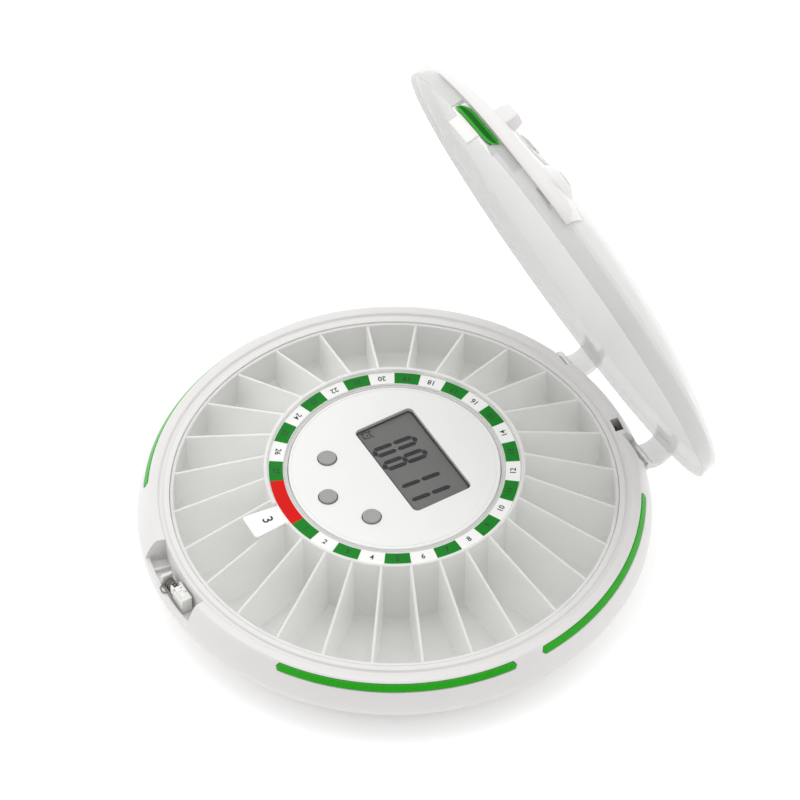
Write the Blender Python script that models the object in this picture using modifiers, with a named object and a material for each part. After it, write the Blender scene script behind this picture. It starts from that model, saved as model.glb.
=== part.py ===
"""A round electronic pill box: a base with a turning tray of pockets, a fixed hub with its display, and a hinged lid.

Metres, +Z up. The origin is on the table, under the tray's axis. The hinge is at +Y and the latch at -Y.
Azimuths are in degrees, counted anticlockwise from +X as seen from above. The lid's pieces are drawn
closed and hang on an empty on the hinge's axis, which then swings them open.
"""

import math

import bmesh
import bpy
from mathutils import Matrix, Vector

# Clearances
GAP = 0.0003
RUNNING_GAP = 0.0007
OVERRUN = 0.0020
BITE = 0.0005
SLIGHT_BITE = 0.0001
MERGE = 0.00001
UNIT = 1.0

# Pockets
POCKETS = 28
STEPS = 2 * POCKETS
FIRST_WALL_AZ = 311.0

# Numbers of facets
SCREW_FACETS = 10
BORE_FACETS = 12
SMALL_FACETS = 16
BUTTON_FACETS = 18
ROUND_FACETS = 20
LOCK_FACETS = 24
WIDE_FACETS = 28
BOARD_FACETS = 32
NOTCH_FACETS = 8
COVER_FACETS = 6
POCKET_FACETS = 2
TAB_FACETS = 3
CORNER_FACETS = 3
LOOP_FACETS = 8
MAT_FACETS = 12
ARM_OUTER_FACETS = 12
ARM_INNER_FACETS = 10
SMOOTH_ANGLE = 30.0
ROUND_PROFILE = 0.5

# Radii, from the middle outwards
HUB_RADIUS = 0.0409
HUB_WALL = 0.0022
FLANGE_GAP = 0.0023
RING_GAP = 0.0020
RING_WIDTH = 0.0056
RING_EDGE_GAP = 0.0005
TRAY_WALL = 0.0014
POCKET_LENGTH = 0.0350
DIVIDER = 0.0012
RIM_WIDTH = 0.0062
SKIRT_BULGE = 0.0062
FOOT_INSET = 0.0095
BASE_WALL = 0.0022
SHOULDER_GAP = 0.0010

# Heights, from the table upwards
FOOT_HEIGHT = 0.0012
PLATE_THICKNESS = 0.0018
WELL_FLOOR_HEIGHT = 0.0092
DECK_THICKNESS = 0.0020
TRAY_FLOOR = 0.0014
WIDEST_HEIGHT = 0.0150
RIM_HEIGHT = 0.0290
HUB_HEIGHT = 0.0420
RING_THICKNESS = 0.0005
COVER_THICKNESS = 0.0018
COVER_RIM_HEIGHT = 0.0024

# Batteries: four AA cells side by side
CELLS = 4
CELL_RADIUS = 0.0071
CELL_LENGTH = 0.0495
CELL_NUB_RADIUS = 0.0026
CELL_NUB_LENGTH = 0.0012
CELL_PITCH = 0.0146
BOX_WALL = 0.0014
CONTACT_THICKNESS = 0.0004
CONTACT_HEIGHT = 0.0090

# Gears: an inside gear under the tray, an idler and the motor's pinion
DRIVE_RIM = 0.0033
RING_TEETH = 60
IDLER_TEETH = 14
PINION_TEETH = 10
PRESSURE_ANGLE = 20.0
ADDENDUM_SHARE = 0.8
DEDENDUM_SHARE = 1.1
BACKLASH = 0.00025
FLANK_SHARES = (0.0, 0.5, 1.0)
RING_FLANK_SHARES = (0.0, 1.0)
GEAR_THICKNESS = 0.0045
SLEEVE_WALL = 0.0015
AXLE_RADIUS = 0.0016
SHAFT_RADIUS = 0.0012
SHAFT_SHARE = 0.44
MOTOR_RADIUS = 0.0135
MOTOR_HEADROOM = 0.0013
MOTOR_EAR_REACH = 0.0175
MOTOR_EAR_RADIUS = 0.0032
MOTOR_EAR_THICKNESS = 0.0010
LUGS = 4
LUG_ANGLE = 8.0

# Hub: display, buttons and board
BOARD_EDGE_GAP = 0.0037
BOARD_THICKNESS = 0.0012
BOARD_DROP = 0.0033
BOSS_RADIUS = 0.0022
BOSS_INSET = 0.0035
BOSSES = 3
FIRST_BOSS_AZ = 90.0
WINDOW_WIDTH = 0.0470
WINDOW_DEPTH = 0.0255
WINDOW_OFFSET = 0.0082
WINDOW_CORNER = 0.0022
LENS_THICKNESS = 0.0010
LENS_SINK = 0.0003
PANEL_THICKNESS = 0.0012
PANEL_MARGIN = 0.0008
PANEL_BORDER = 0.0024
BUTTON_RADIUS = 0.0035
BUTTON_GAP = 0.0004
BUTTON_RISE = 0.0008
BUTTON_FLANGE = 0.0009
BUTTON_FLANGE_THICKNESS = 0.0007
SIDE_BUTTON_X = 0.0170
SIDE_BUTTON_INSET = 0.0208
MIDDLE_BUTTON_INSET = 0.0114
MAT_THICKNESS = 0.0005
MAT_MARGIN = 0.0052
BUZZER_RADIUS = 0.0060
BUZZER_HEIGHT = 0.0050
BUZZER_INSET = 0.0150
BUZZER_Y = -0.0080
CHIP_SIDE = 0.0100
CHIP_THICKNESS = 0.0012
CHIP_X = 0.0140
CHIP_Y = -0.0120

# Green light strips round the skirt
STRIP_ENDS = ((31.0, 85.0), (92.0, 148.0))
STRIP_TOP_DROP = 0.0004
STRIP_HEIGHT = 0.0040
STRIP_DEPTH = 0.0010
STRIP_STEPS = 8
STRIP_ROUND_SEGMENTS = 3
STRIP_ROUND_SHARE = 0.45

# Groove round the rim
GROOVE_INSET = 0.0017
GROOVE_WIDTH = 0.0019
GROOVE_DEPTH = 0.0012

# Dose tab on the printed ring
TAB_START_AZ = 262.8
TAB_END_AZ = 273.4
TAB_REACH = 0.0149

# Latch notch in the rim, and what lies in it
NOTCH_START_AZ = 255.5
NOTCH_END_AZ = 277.0
NOTCH_MARGIN_AZ = 2.2
NOTCH_INSET = 0.0024
NOTCH_DEPTH = 0.0115
LIP_DROP = 0.0088
LIP_WALL = 0.0016
NOTCH_FLOOR = 0.0025
BLOCK_LENGTH = 0.0094
BLOCK_WIDTH = 0.0046
BLOCK_HEIGHT = 0.0074
BLOCK_BEVEL = 0.0006
BLOCK_WELL_DEPTH = 0.0020
CATCH_TRAVEL = 0.0025
CATCH_SPRING_LENGTH = 0.0056
CATCH_SPRING_RADIUS = 0.0019
CATCH_WIRE = 0.00026
CATCH_CURLS = 5
CURL_POINTS = 9
POST_LENGTH = 0.0014
POST_HEIGHT = 0.0062
LOOP_RADIUS = 0.0020

# Hinge at the back
PIVOT_OUT = 0.0006
PIVOT_DROP = 0.0090
OPEN_ANGLE = 70.0
HINGE_BLOCK_AZ = 22.0
HINGE_BLOCK_DROP = 0.0165
ARM_INNER_X = 0.0213
ARM_WIDTH = 0.0115
ARM_SIDE_GAP = 0.0004
ARM_THICKNESS = 0.0024
ARM_CURVE_RADIUS = 0.0076
ARM_CURVE_IN = 0.0024
ARM_CURVE_UP = 0.0073
ARM_CURVE_START = -75.0
EYE_RADIUS = 0.0031
PIN_RADIUS = 0.00125
PIN_INNER_X = 0.0090
SLOT_INSET = 0.0035
SLOT_DEPTH = 0.0125
HINGE_SPRING_START_AZ = 78.4
HINGE_SPRING_END_AZ = 82.3
HINGE_SPRING_RADIUS = 0.00175
HINGE_WIRE = 0.0003
HINGE_CURLS = 4
HINGE_POCKET_WALL = 0.0007
HINGE_POCKET_DROP = 0.0118
SPRING_LEG = 0.0050

# Lid
LID_WALL = 0.0018
LID_WALL_HEIGHT = 0.0066
LID_CORNER_HEIGHT = 0.0083
LID_DRAFT = 0.0008
LID_CORNER_INSET = 0.0031
LID_RISE = 0.0129
LID_CURVE = 2.5

# Front housing on the lid
HOUSING_START_AZ = 236.0
HOUSING_END_AZ = 297.0
HOUSING_STEPS = 14
HOUSING_DEPTH = 0.0150
HOUSING_PROUD = 0.0026
HOUSING_LIFT = 0.0053
HOUSING_CORNER = 0.0022
LIFT_TAB_AZ = 265.0
LIFT_TAB_WIDTH = 0.0090
LIFT_TAB_DEPTH = 0.0070
LIFT_TAB_RISE = 0.0040
LIFT_TAB_INSET = 0.0070
LIFT_TAB_BEVEL = 0.0012

# Press bar, in a window of the lid's wall
PRESS_AZ = 262.0
PRESS_HALF_ANGLE = 8.2
PRESS_STEPS = 6
PRESS_FACE_RUN = 0.0052
PRESS_FACE_RISE = 0.0046
PRESS_TOP_RUN = 0.0020
PRESS_SIDE_GAP_AZ = 0.4
TONGUE_START_AZ = 257.2
TONGUE_END_AZ = 266.0
TONGUE_DROP = 0.0047
TONGUE_WALL = 0.0012
COVER_INSET = 0.0110
COVER_WALL = 0.0013
COVER_HALF_ANGLE = 14.0
COVER_DROP = 0.0061

# Key lock
LOCK_AZ = 286.5
LOCK_INSET = 0.0090
BEZEL_RADIUS = 0.0066
BEZEL_HEIGHT = 0.0021
BARREL_RADIUS = 0.0043
BARREL_LENGTH = 0.0098
BARREL_RISE = 0.0004
KEYWAY_WIDTH = 0.0011
KEYWAY_LENGTH = 0.0052
KEYWAY_DEPTH = 0.0020
CAM_LENGTH = 0.0088
CAM_WIDTH = 0.0050
CAM_THICKNESS = 0.0012

# Dispensing door in the lid
DOOR_AZ = 266.0
DOOR_LENGTH = 0.0142
DOOR_CLEARANCE = 0.0025
DOOR_HALF_ANGLE = 6.0
DOOR_LEDGE = 0.0016
DOOR_LEDGE_AZ = 1.3
DOOR_THICKNESS = 0.0012
DOOR_STEPS = 4

# Base plate, feet and screws
DOOR_PLAY = 0.0004
SCREW_REACH = 0.0720
SCREW_AZ = 45.0
SCREWS = 4
SCREW_SHANK = 0.0013
SCREW_HEAD = 0.0028
SCREW_HEAD_THICKNESS = 0.0007
SCREW_BOSS = 0.0042
FOOT_RADIUS = 0.0060
FOOT_REACH = 0.0740
FOOT_AZ = 22.0

# Worked out from the sizes above
half_gap = GAP / 2
third_gap = GAP / 3
tray_hole_radius = HUB_RADIUS + FLANGE_GAP
ring_inner_radius = HUB_RADIUS + RING_GAP
ring_outer_radius = ring_inner_radius + RING_WIDTH
tray_inner_radius = ring_outer_radius + RING_EDGE_GAP + TRAY_WALL
pocket_outer_radius = tray_inner_radius + POCKET_LENGTH
tray_outer_radius = pocket_outer_radius + TRAY_WALL
well_radius = tray_outer_radius + RUNNING_GAP
rim_radius = well_radius + RIM_WIDTH
base_radius = rim_radius + SKIRT_BULGE
foot_ring_radius = base_radius - FOOT_INSET
shoulder_radius = tray_inner_radius - TRAY_WALL - SHOULDER_GAP
sleeve_radius = tray_inner_radius - TRAY_WALL - RUNNING_GAP
gear_module = 2 * (sleeve_radius - DRIVE_RIM) / RING_TEETH
board_radius = HUB_RADIUS - HUB_WALL - BOARD_EDGE_GAP
boss_reach = board_radius - BOSS_INSET
side_button_y = SIDE_BUTTON_INSET - HUB_RADIUS
middle_button_y = MIDDLE_BUTTON_INSET - HUB_RADIUS

plate_bottom = FOOT_HEIGHT + GAP
plate_top = plate_bottom + PLATE_THICKNESS
cell_axis_height = plate_top + GAP + CELL_RADIUS
deck_bottom = cell_axis_height + CELL_RADIUS + GAP
deck_top = deck_bottom + DECK_THICKNESS
tray_bottom = WELL_FLOOR_HEIGHT + RUNNING_GAP
tray_floor_top = tray_bottom + TRAY_FLOOR
gear_bottom = deck_top + GAP
gear_top = gear_bottom + GEAR_THICKNESS
cover_bottom = HUB_HEIGHT - COVER_THICKNESS
tower_top = cover_bottom - COVER_RIM_HEIGHT - GAP
board_top = cover_bottom - BOARD_DROP
board_bottom = board_top - BOARD_THICKNESS
ring_bottom = HUB_HEIGHT - RING_THICKNESS
motor_bottom = gear_top + RUNNING_GAP
motor_top = board_bottom - MOTOR_HEADROOM
shaft_top = motor_bottom + SHAFT_SHARE * (motor_top - motor_bottom)
flange_top = ring_bottom - GAP
flange_bottom = flange_top - TRAY_WALL
tray_crest = HUB_HEIGHT + TRAY_WALL
divider_low = RIM_HEIGHT - GAP
skirt_bottom = plate_bottom + GAP

pivot_y = rim_radius + PIVOT_OUT
pivot_z = RIM_HEIGHT - PIVOT_DROP
PIVOT = Vector((0.0, pivot_y, pivot_z))
lid_radius = rim_radius + GAP
lid_bottom = RIM_HEIGHT + GAP
lid_corner_radius = lid_radius - LID_CORNER_INSET
lid_corner_z = lid_bottom + LID_CORNER_HEIGHT
lid_top = lid_corner_z + LID_RISE
lock_reach = lid_radius - LOCK_INSET
housing_inner_radius = lid_radius - HOUSING_DEPTH - GAP
door_outer_radius = housing_inner_radius - DOOR_CLEARANCE
door_inner_radius = door_outer_radius - DOOR_LENGTH
notch_radius = rim_radius - NOTCH_INSET
notch_floor_z = RIM_HEIGHT - NOTCH_DEPTH
lip_z = RIM_HEIGHT - LIP_DROP


def clear_scene():
    for old in list(bpy.data.objects):
        bpy.data.objects.remove(old, do_unlink=True)


def make_collection(name):
    group = bpy.data.collections.new(name)
    bpy.context.scene.collection.children.link(group)
    return group


clear_scene()
MODEL = make_collection("electronic_pill_box")
CUTTERS = make_collection("cutters")


def linear(channel):
    if channel <= 0.04045:
        return channel / 12.92
    return ((channel + 0.055) / 1.055) ** 2.4


def make_material(name, colour, roughness, metallic=0.0, alpha=1.0):
    """A Principled material whose colour is an sRGB hex value."""
    found = bpy.data.materials.new(name)
    found.use_nodes = True
    shader = found.node_tree.nodes["Principled BSDF"]
    channels = [linear(int(colour[i : i + 2], 16) / 255) for i in (0, 2, 4)]
    shader.inputs["Base Color"].default_value = (*channels, 1.0)
    shader.inputs["Roughness"].default_value = roughness
    shader.inputs["Metallic"].default_value = metallic
    shader.inputs["Alpha"].default_value = alpha
    found.diffuse_color = (*channels, alpha)
    return found


WHITE = make_material("white_abs", "F1F1EF", 0.35)
HUB_WHITE = make_material("hub_white_abs", "F8F8F6", 0.40)
FROSTED = make_material("frosted_polypropylene", "E6E7E5", 0.45, alpha=0.8)
LID_FROSTED = make_material("frosted_polycarbonate", "EDEDEB", 0.30, alpha=0.7)
GREEN = make_material("green_acrylic", "2FA31F", 0.25)
RING_CARD = make_material("printed_ring", "F4F4F2", 0.55)
LENS = make_material("display_lens", "6E6E6E", 0.10)
DISPLAY = make_material("display_glass", "7A7A78", 0.20)
BUTTON_GREY = make_material("grey_rubber", "A5A5A5", 0.60)
BOARD_GREEN = make_material("circuit_board", "1F5B3A", 0.50)
STEEL = make_material("spring_steel", "8C8C8A", 0.30, metallic=1.0)
ZINC = make_material("plated_zinc", "9C9C9A", 0.25, metallic=1.0)
NATURAL = make_material("natural_nylon", "E9E9E4", 0.40)
GEAR_WHITE = make_material("acetal_gear", "E4E4DE", 0.35)
BLACK = make_material("black_plastic", "202020", 0.50)
CELL_SKIN = make_material("battery_sleeve", "3B3B40", 0.35)
RUBBER = make_material("dark_rubber", "4A4A4A", 0.80)


def polar(radius, azimuth, z=0.0):
    angle = math.radians(azimuth)
    return Vector((radius * math.cos(angle), radius * math.sin(angle), z))


def arc(centre, radius, start, end, steps):
    """Points of an arc in a plane, from one angle in degrees to another."""
    angles = [math.radians(start + (end - start) * i / steps) for i in range(steps + 1)]
    return [(centre[0] + radius * math.cos(a), centre[1] + radius * math.sin(a)) for a in angles]


def add_object(name, mesh, material, group=None):
    made = bpy.data.objects.new(name, mesh)
    made.data.materials.clear()
    made.data.materials.append(material)
    (group or MODEL).objects.link(made)
    return made


def evaluated_mesh(source):
    """The object's mesh with its modifiers applied, in world space; the source is removed."""
    bpy.context.view_layer.update()
    graph = bpy.context.evaluated_depsgraph_get()
    mesh = bpy.data.meshes.new_from_object(source.evaluated_get(graph))
    mesh.transform(source.matrix_world)
    bpy.data.objects.remove(source, do_unlink=True)
    return mesh


def tidy_mesh(mesh, matrix=None, merge=MERGE, fill=False):
    """Merges doubles, closes open ends, turns the faces outwards and shades the round ones smooth."""
    shape = bmesh.new()
    shape.from_mesh(mesh)
    bmesh.ops.remove_doubles(shape, verts=shape.verts, dist=merge)
    if fill:
        bmesh.ops.holes_fill(shape, edges=[e for e in shape.edges if e.is_boundary])
    if matrix is not None:
        bmesh.ops.transform(shape, matrix=matrix, verts=shape.verts)
    bmesh.ops.recalc_face_normals(shape, faces=shape.faces)
    shape.to_mesh(mesh)
    shape.free()
    mesh.shade_smooth()
    mesh.set_sharp_from_angle(angle=math.radians(SMOOTH_ANGLE))
    return mesh


def screwed(outline, sweep, steps, closed):
    """The mesh that a profile in the XZ plane sweeps about Z."""
    mesh = bpy.data.meshes.new("profile")
    count = len(outline)
    edges = [(i, i + 1) for i in range(count - 1)]
    if closed:
        edges.append((count - 1, 0))
    mesh.from_pydata([(r, 0.0, z) for r, z in outline], edges, [])
    source = bpy.data.objects.new("profile", mesh)
    CUTTERS.objects.link(source)
    screw = source.modifiers.new("Screw", "SCREW")
    screw.axis = "Z"
    screw.angle = math.radians(sweep)
    screw.steps = steps
    screw.render_steps = steps
    screw.use_merge_vertices = sweep == 360
    screw.merge_threshold = MERGE
    return evaluated_mesh(source)


def turned(name, outline, material, start=0.0, closed=True):
    """A full turn of the profile, in the object's own number of facets."""
    mesh = screwed(outline, 360, STEPS, closed)
    turn = Matrix.Rotation(math.radians(start), 4, "Z")
    return add_object(name, tidy_mesh(mesh, turn), material)


def sector(name, outline, start, end, steps, material=WHITE):
    """Part of a turn of a closed profile, with flat ends, from one azimuth to another."""
    mesh = screwed(outline, end - start, steps, True)
    turn = Matrix.Rotation(math.radians(start), 4, "Z")
    return add_object(name, tidy_mesh(mesh, turn, fill=True), material)


def flat(name, loops, bottom, top, material=WHITE):
    """Flat outlines, filled between them and given a thickness from bottom to top."""
    curve = bpy.data.curves.new(name, "CURVE")
    curve.dimensions = "2D"
    curve.fill_mode = "BOTH"
    curve.extrude = (top - bottom) / 2
    for loop in loops:
        spline = curve.splines.new("POLY")
        spline.points.add(len(loop) - 1)
        for point, (x, y) in zip(spline.points, loop):
            point.co = (x, y, 0.0, 1.0)
        spline.use_cyclic_u = True
    source = bpy.data.objects.new(name, curve)
    CUTTERS.objects.link(source)
    source.location.z = (top + bottom) / 2
    return add_object(name, tidy_mesh(evaluated_mesh(source)), material)


def upright(name, loop, left, right, material=WHITE):
    """An outline in the YZ plane, given a width along X."""
    made = flat(name, [loop], left, right, material)
    turn = Matrix(((0, 0, 1, 0), (1, 0, 0, 0), (0, 1, 0, 0), (0, 0, 0, 1)))
    made.data.transform(turn)
    return made


def box(name, low, high, material=WHITE, bevel=0.0):
    """A block between two corners, with bevelled edges if a width is given."""
    bpy.ops.mesh.primitive_cube_add(size=UNIT)
    made = bpy.context.object
    made.name = name
    for group in list(made.users_collection):
        group.objects.unlink(made)
    MODEL.objects.link(made)
    size = Vector(high) - Vector(low)
    middle = (Vector(high) + Vector(low)) / 2
    made.data.transform(Matrix.Translation(middle) @ Matrix.Diagonal((*size, 1.0)))
    made.data.materials.append(material)
    if bevel:
        edge = made.modifiers.new("Bevel", "BEVEL")
        edge.width = bevel
        edge.segments = 1
    return made


def cylinder(name, radius, bottom, top, centre=(0.0, 0.0), sides=LOCK_FACETS, material=WHITE):
    mesh = bpy.data.meshes.new(name)
    shape = bmesh.new()
    bmesh.ops.create_cone(
        shape, cap_ends=True, segments=sides, radius1=radius, radius2=radius, depth=top - bottom
    )
    shape.to_mesh(mesh)
    shape.free()
    move = Matrix.Translation((centre[0], centre[1], (top + bottom) / 2))
    return add_object(name, tidy_mesh(mesh, move), material)


def rod(name, radius, left, right, y, z, sides=ROUND_FACETS, material=WHITE):
    """A cylinder along X."""
    made = cylinder(name, radius, left, right, sides=sides, material=material)
    turn = Matrix(((0, 0, 1, 0), (1, 0, 0, y), (0, 1, 0, z), (0, 0, 0, 1)))
    made.data.transform(turn)
    return made


def wire(name, points, radius, material, cyclic=False, resolution=1):
    """A round wire along a list of points."""
    curve = bpy.data.curves.new(name, "CURVE")
    curve.dimensions = "3D"
    curve.bevel_depth = radius
    curve.bevel_resolution = resolution
    curve.use_fill_caps = True
    spline = curve.splines.new("POLY")
    spline.points.add(len(points) - 1)
    for point, place in zip(spline.points, points):
        point.co = (*place, 1.0)
    spline.use_cyclic_u = cyclic
    source = bpy.data.objects.new(name, curve)
    CUTTERS.objects.link(source)
    return add_object(name, tidy_mesh(evaluated_mesh(source)), material)


def as_cutter(made):
    for group in list(made.users_collection):
        group.objects.unlink(made)
    CUTTERS.objects.link(made)
    made.hide_render = True
    made.display_type = "WIRE"


def combine(target, operation, others):
    for other in others:
        as_cutter(other)
        step = target.modifiers.new(other.name, "BOOLEAN")
        step.operation = operation
        step.solver = "EXACT"
        step.object = other


def cut(target, *others):
    combine(target, "DIFFERENCE", others)


def fuse(target, *others):
    combine(target, "UNION", others)


def ride(made, empty, home):
    """Hangs a piece, and what cuts it, on an empty whose place in the closed box is home."""
    followers = [made] + [m.object for m in made.modifiers if m.type == "BOOLEAN"]
    for follower in followers:
        follower.data.transform(Matrix.Translation(-Vector(home)))
        follower.parent = empty


def make_empty(name, home, parent=None, parent_home=None):
    made = bpy.data.objects.new(name, None)
    MODEL.objects.link(made)
    made.empty_display_size = GEAR_THICKNESS
    made.location = Vector(home) - Vector(parent_home or (0.0, 0.0, 0.0))
    made.parent = parent
    return made


def set_origin(made, place):
    made.data.transform(Matrix.Translation(-Vector(place)))
    made.location = place


# Base housing
def skirt_radius(z):
    """The skirt's outer radius at a height: one parabola above its widest line and one below."""
    if z >= WIDEST_HEIGHT:
        share = (z - WIDEST_HEIGHT) / (RIM_HEIGHT - WIDEST_HEIGHT)
        return base_radius - SKIRT_BULGE * share**2
    share = (WIDEST_HEIGHT - z) / (WIDEST_HEIGHT - skirt_bottom)
    return base_radius - FOOT_INSET * share**2


SKIRT_SHARES = (0.36, 0.0)
LOWER_SKIRT_SHARES = (0.45, 0.78, 1.0)
INNER_SKIRT_SHARES = (1.0, 0.5, 0.0)


def skirt_outline():
    """The skirt's outer side, from the rim down to its lower edge."""
    strip_top = RIM_HEIGHT - STRIP_TOP_DROP
    upper = [strip_top, strip_top - STRIP_HEIGHT]
    upper += [WIDEST_HEIGHT + s * (RIM_HEIGHT - WIDEST_HEIGHT) for s in SKIRT_SHARES]
    lower = [WIDEST_HEIGHT - s * (WIDEST_HEIGHT - skirt_bottom) for s in LOWER_SKIRT_SHARES]
    return [(skirt_radius(z), z) for z in upper + lower]


def housing_outline():
    """From the deck's middle over the hub tower, the well and the rim, down the skirt and back inside."""
    tower_inner = HUB_RADIUS - HUB_WALL
    floor_bottom = WELL_FLOOR_HEIGHT - BASE_WALL
    groove_inner = well_radius + GROOVE_INSET
    groove_outer = groove_inner + GROOVE_WIDTH
    groove_bottom = RIM_HEIGHT - GROOVE_DEPTH
    rim_bottom = groove_bottom - BASE_WALL
    inner_low = [WIDEST_HEIGHT - s * (WIDEST_HEIGHT - skirt_bottom) for s in INNER_SKIRT_SHARES]
    inside = [(skirt_radius(z) - BASE_WALL, z) for z in inner_low]
    return [
        (0.0, deck_top),
        (tower_inner, deck_top),
        (tower_inner, tower_top),
        (HUB_RADIUS, tower_top),
        (HUB_RADIUS, deck_top),
        (shoulder_radius, deck_top),
        (shoulder_radius, WELL_FLOOR_HEIGHT),
        (well_radius, WELL_FLOOR_HEIGHT),
        (well_radius, RIM_HEIGHT),
        (groove_inner, RIM_HEIGHT),
        (groove_inner, groove_bottom),
        (groove_outer, groove_bottom),
        (groove_outer, RIM_HEIGHT),
        (rim_radius - GAP, RIM_HEIGHT),
        *skirt_outline(),
        *inside,
        (skirt_radius(rim_bottom) - BASE_WALL, rim_bottom),
        (well_radius + BASE_WALL, rim_bottom),
        (well_radius + BASE_WALL, floor_bottom),
        (shoulder_radius - BASE_WALL, floor_bottom),
        (shoulder_radius - BASE_WALL, deck_bottom),
        (0.0, deck_bottom),
    ]


def inside_skirt_block(name, drop, start, end):
    """Solid material between the well's wall and the skirt, over the facets that hold both azimuths."""
    facet = 360 / STEPS
    first = math.floor(start / facet)
    steps = math.ceil(end / facet) - first
    low = RIM_HEIGHT - drop
    high = RIM_HEIGHT - GROOVE_DEPTH - BITE
    middle = (high + WIDEST_HEIGHT) / 2
    inner = well_radius + BASE_WALL - BITE
    outline = [
        (inner, high),
        (skirt_radius(high) - BASE_WALL + BITE, high),
        (skirt_radius(middle) - 2 * BITE, middle),
        (skirt_radius(low) - 2 * BITE, low),
        (inner, low),
    ]
    return sector(name, outline, first * facet, (first + steps) * facet, steps)


def notch_cutter():
    """The bite out of the rim at the front: a floor, a low outer lip and an open top."""
    lip_inner = skirt_radius(lip_z) - LIP_WALL
    above = RIM_HEIGHT + OVERRUN
    outside = base_radius + OVERRUN
    outline = [
        (notch_radius, above),
        (outside, above),
        (outside, lip_z),
        (lip_inner, lip_z),
        (lip_inner, notch_floor_z),
        (notch_radius, notch_floor_z),
    ]
    return sector("notch_cutter", outline, NOTCH_START_AZ, NOTCH_END_AZ, NOTCH_FACETS)


def hinge_pocket_cutter():
    """The small pocket that shows the hinge's spring."""
    low = RIM_HEIGHT - HINGE_POCKET_DROP
    above = RIM_HEIGHT + OVERRUN
    spring_top = pivot_z + HINGE_SPRING_RADIUS
    outline = [
        (notch_radius, above),
        (skirt_radius(RIM_HEIGHT) - HINGE_POCKET_WALL, above),
        (skirt_radius(RIM_HEIGHT) - HINGE_POCKET_WALL, RIM_HEIGHT),
        (skirt_radius(spring_top) - HINGE_POCKET_WALL, spring_top),
        (skirt_radius(low) - HINGE_POCKET_WALL, low),
        (notch_radius, low),
    ]
    return sector("hinge_pocket_cutter", outline, HINGE_SPRING_START_AZ, HINGE_SPRING_END_AZ, POCKET_FACETS)


def hinge_spring_ends():
    """Where along X the spring's coil starts and ends, a gap inside the pocket's end walls."""
    reach = HINGE_SPRING_RADIUS + HINGE_WIRE
    start_x = (pivot_y + reach) / math.tan(math.radians(HINGE_SPRING_END_AZ)) + HINGE_WIRE + GAP
    end_x = (pivot_y - reach) / math.tan(math.radians(HINGE_SPRING_START_AZ)) - HINGE_WIRE - GAP
    return start_x, end_x


def hinge_bed_cutter():
    """A round bed that keeps the pocket clear of the coil, whatever the skirt's height."""
    start_x, end_x = hinge_spring_ends()
    reach = HINGE_SPRING_RADIUS + HINGE_WIRE + GAP
    side = HINGE_WIRE + half_gap
    return rod("hinge_bed_cutter", reach, start_x - side, end_x + side, pivot_y, pivot_z)


def arm_slot_cutter(side):
    inner = ARM_INNER_X - ARM_SIDE_GAP
    outer = ARM_INNER_X + ARM_WIDTH + ARM_SIDE_GAP
    low_x, high_x = sorted((side * inner, side * outer))
    low = (low_x, pivot_y - SLOT_INSET, RIM_HEIGHT - SLOT_DEPTH)
    high = (high_x, base_radius + OVERRUN, RIM_HEIGHT + OVERRUN)
    return box("arm_slot_cutter", low, high)


def pin_bore_cutter(side):
    inner = PIN_INNER_X - GAP
    outer = ARM_INNER_X + ARM_SIDE_GAP
    low_x, high_x = sorted((side * inner, side * outer))
    return rod("pin_bore_cutter", PIN_RADIUS + GAP, low_x, high_x, pivot_y, pivot_z)


def strip_outline(clearance):
    """The skin of the skirt that a light strip takes up, or the slightly larger recess for it."""
    top = RIM_HEIGHT - STRIP_TOP_DROP + clearance
    low = RIM_HEIGHT - STRIP_TOP_DROP - STRIP_HEIGHT - clearance
    proud = OVERRUN if clearance else 0.0
    depth = STRIP_DEPTH + clearance
    return [
        (skirt_radius(top) + proud, top),
        (skirt_radius(low) + proud, low),
        (skirt_radius(low) - depth, low),
        (skirt_radius(top) - depth, top),
    ]


def strip_piece(name, start, end, clearance, material):
    """A strip whose ends are rounded by bevelling the edges that run into the skirt."""
    spread = math.degrees(clearance / base_radius)
    made = sector(name, strip_outline(clearance), start - spread, end + spread, STRIP_STEPS, material)
    shape = bmesh.new()
    shape.from_mesh(made.data)
    flat_ends = [polar(1.0, azimuth + 90) for azimuth in (start - spread, end + spread)]
    ends = []
    for edge in shape.edges:
        a, b = (v.co for v in edge.verts)
        level = abs(a.z - b.z) < MERGE
        if level and any(abs(a.dot(side)) < MERGE and abs(b.dot(side)) < MERGE for side in flat_ends):
            ends.append(edge)
    bmesh.ops.bevel(
        shape,
        geom=ends,
        offset=STRIP_HEIGHT * STRIP_ROUND_SHARE,
        segments=STRIP_ROUND_SEGMENTS,
        profile=ROUND_PROFILE,
        affect="EDGES",
    )
    bmesh.ops.recalc_face_normals(shape, faces=shape.faces)
    shape.to_mesh(made.data)
    shape.free()
    return made


def strip_spans():
    """The four strips, two each side of the line from hinge to latch."""
    spans = []
    for side in (1, -1):
        for near, far in STRIP_ENDS:
            spans.append(tuple(sorted((90.0 + side * near, 90.0 + side * far))))
    return spans


def screw_places():
    return [polar(SCREW_REACH, SCREW_AZ + 360 / SCREWS * i) for i in range(SCREWS)]


def motor_place():
    pitch = gear_module / 2
    idler_y = pitch * (RING_TEETH - IDLER_TEETH)
    return Vector((0.0, idler_y - pitch * (IDLER_TEETH + PINION_TEETH), 0.0)), Vector((0.0, idler_y, 0.0))


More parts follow.
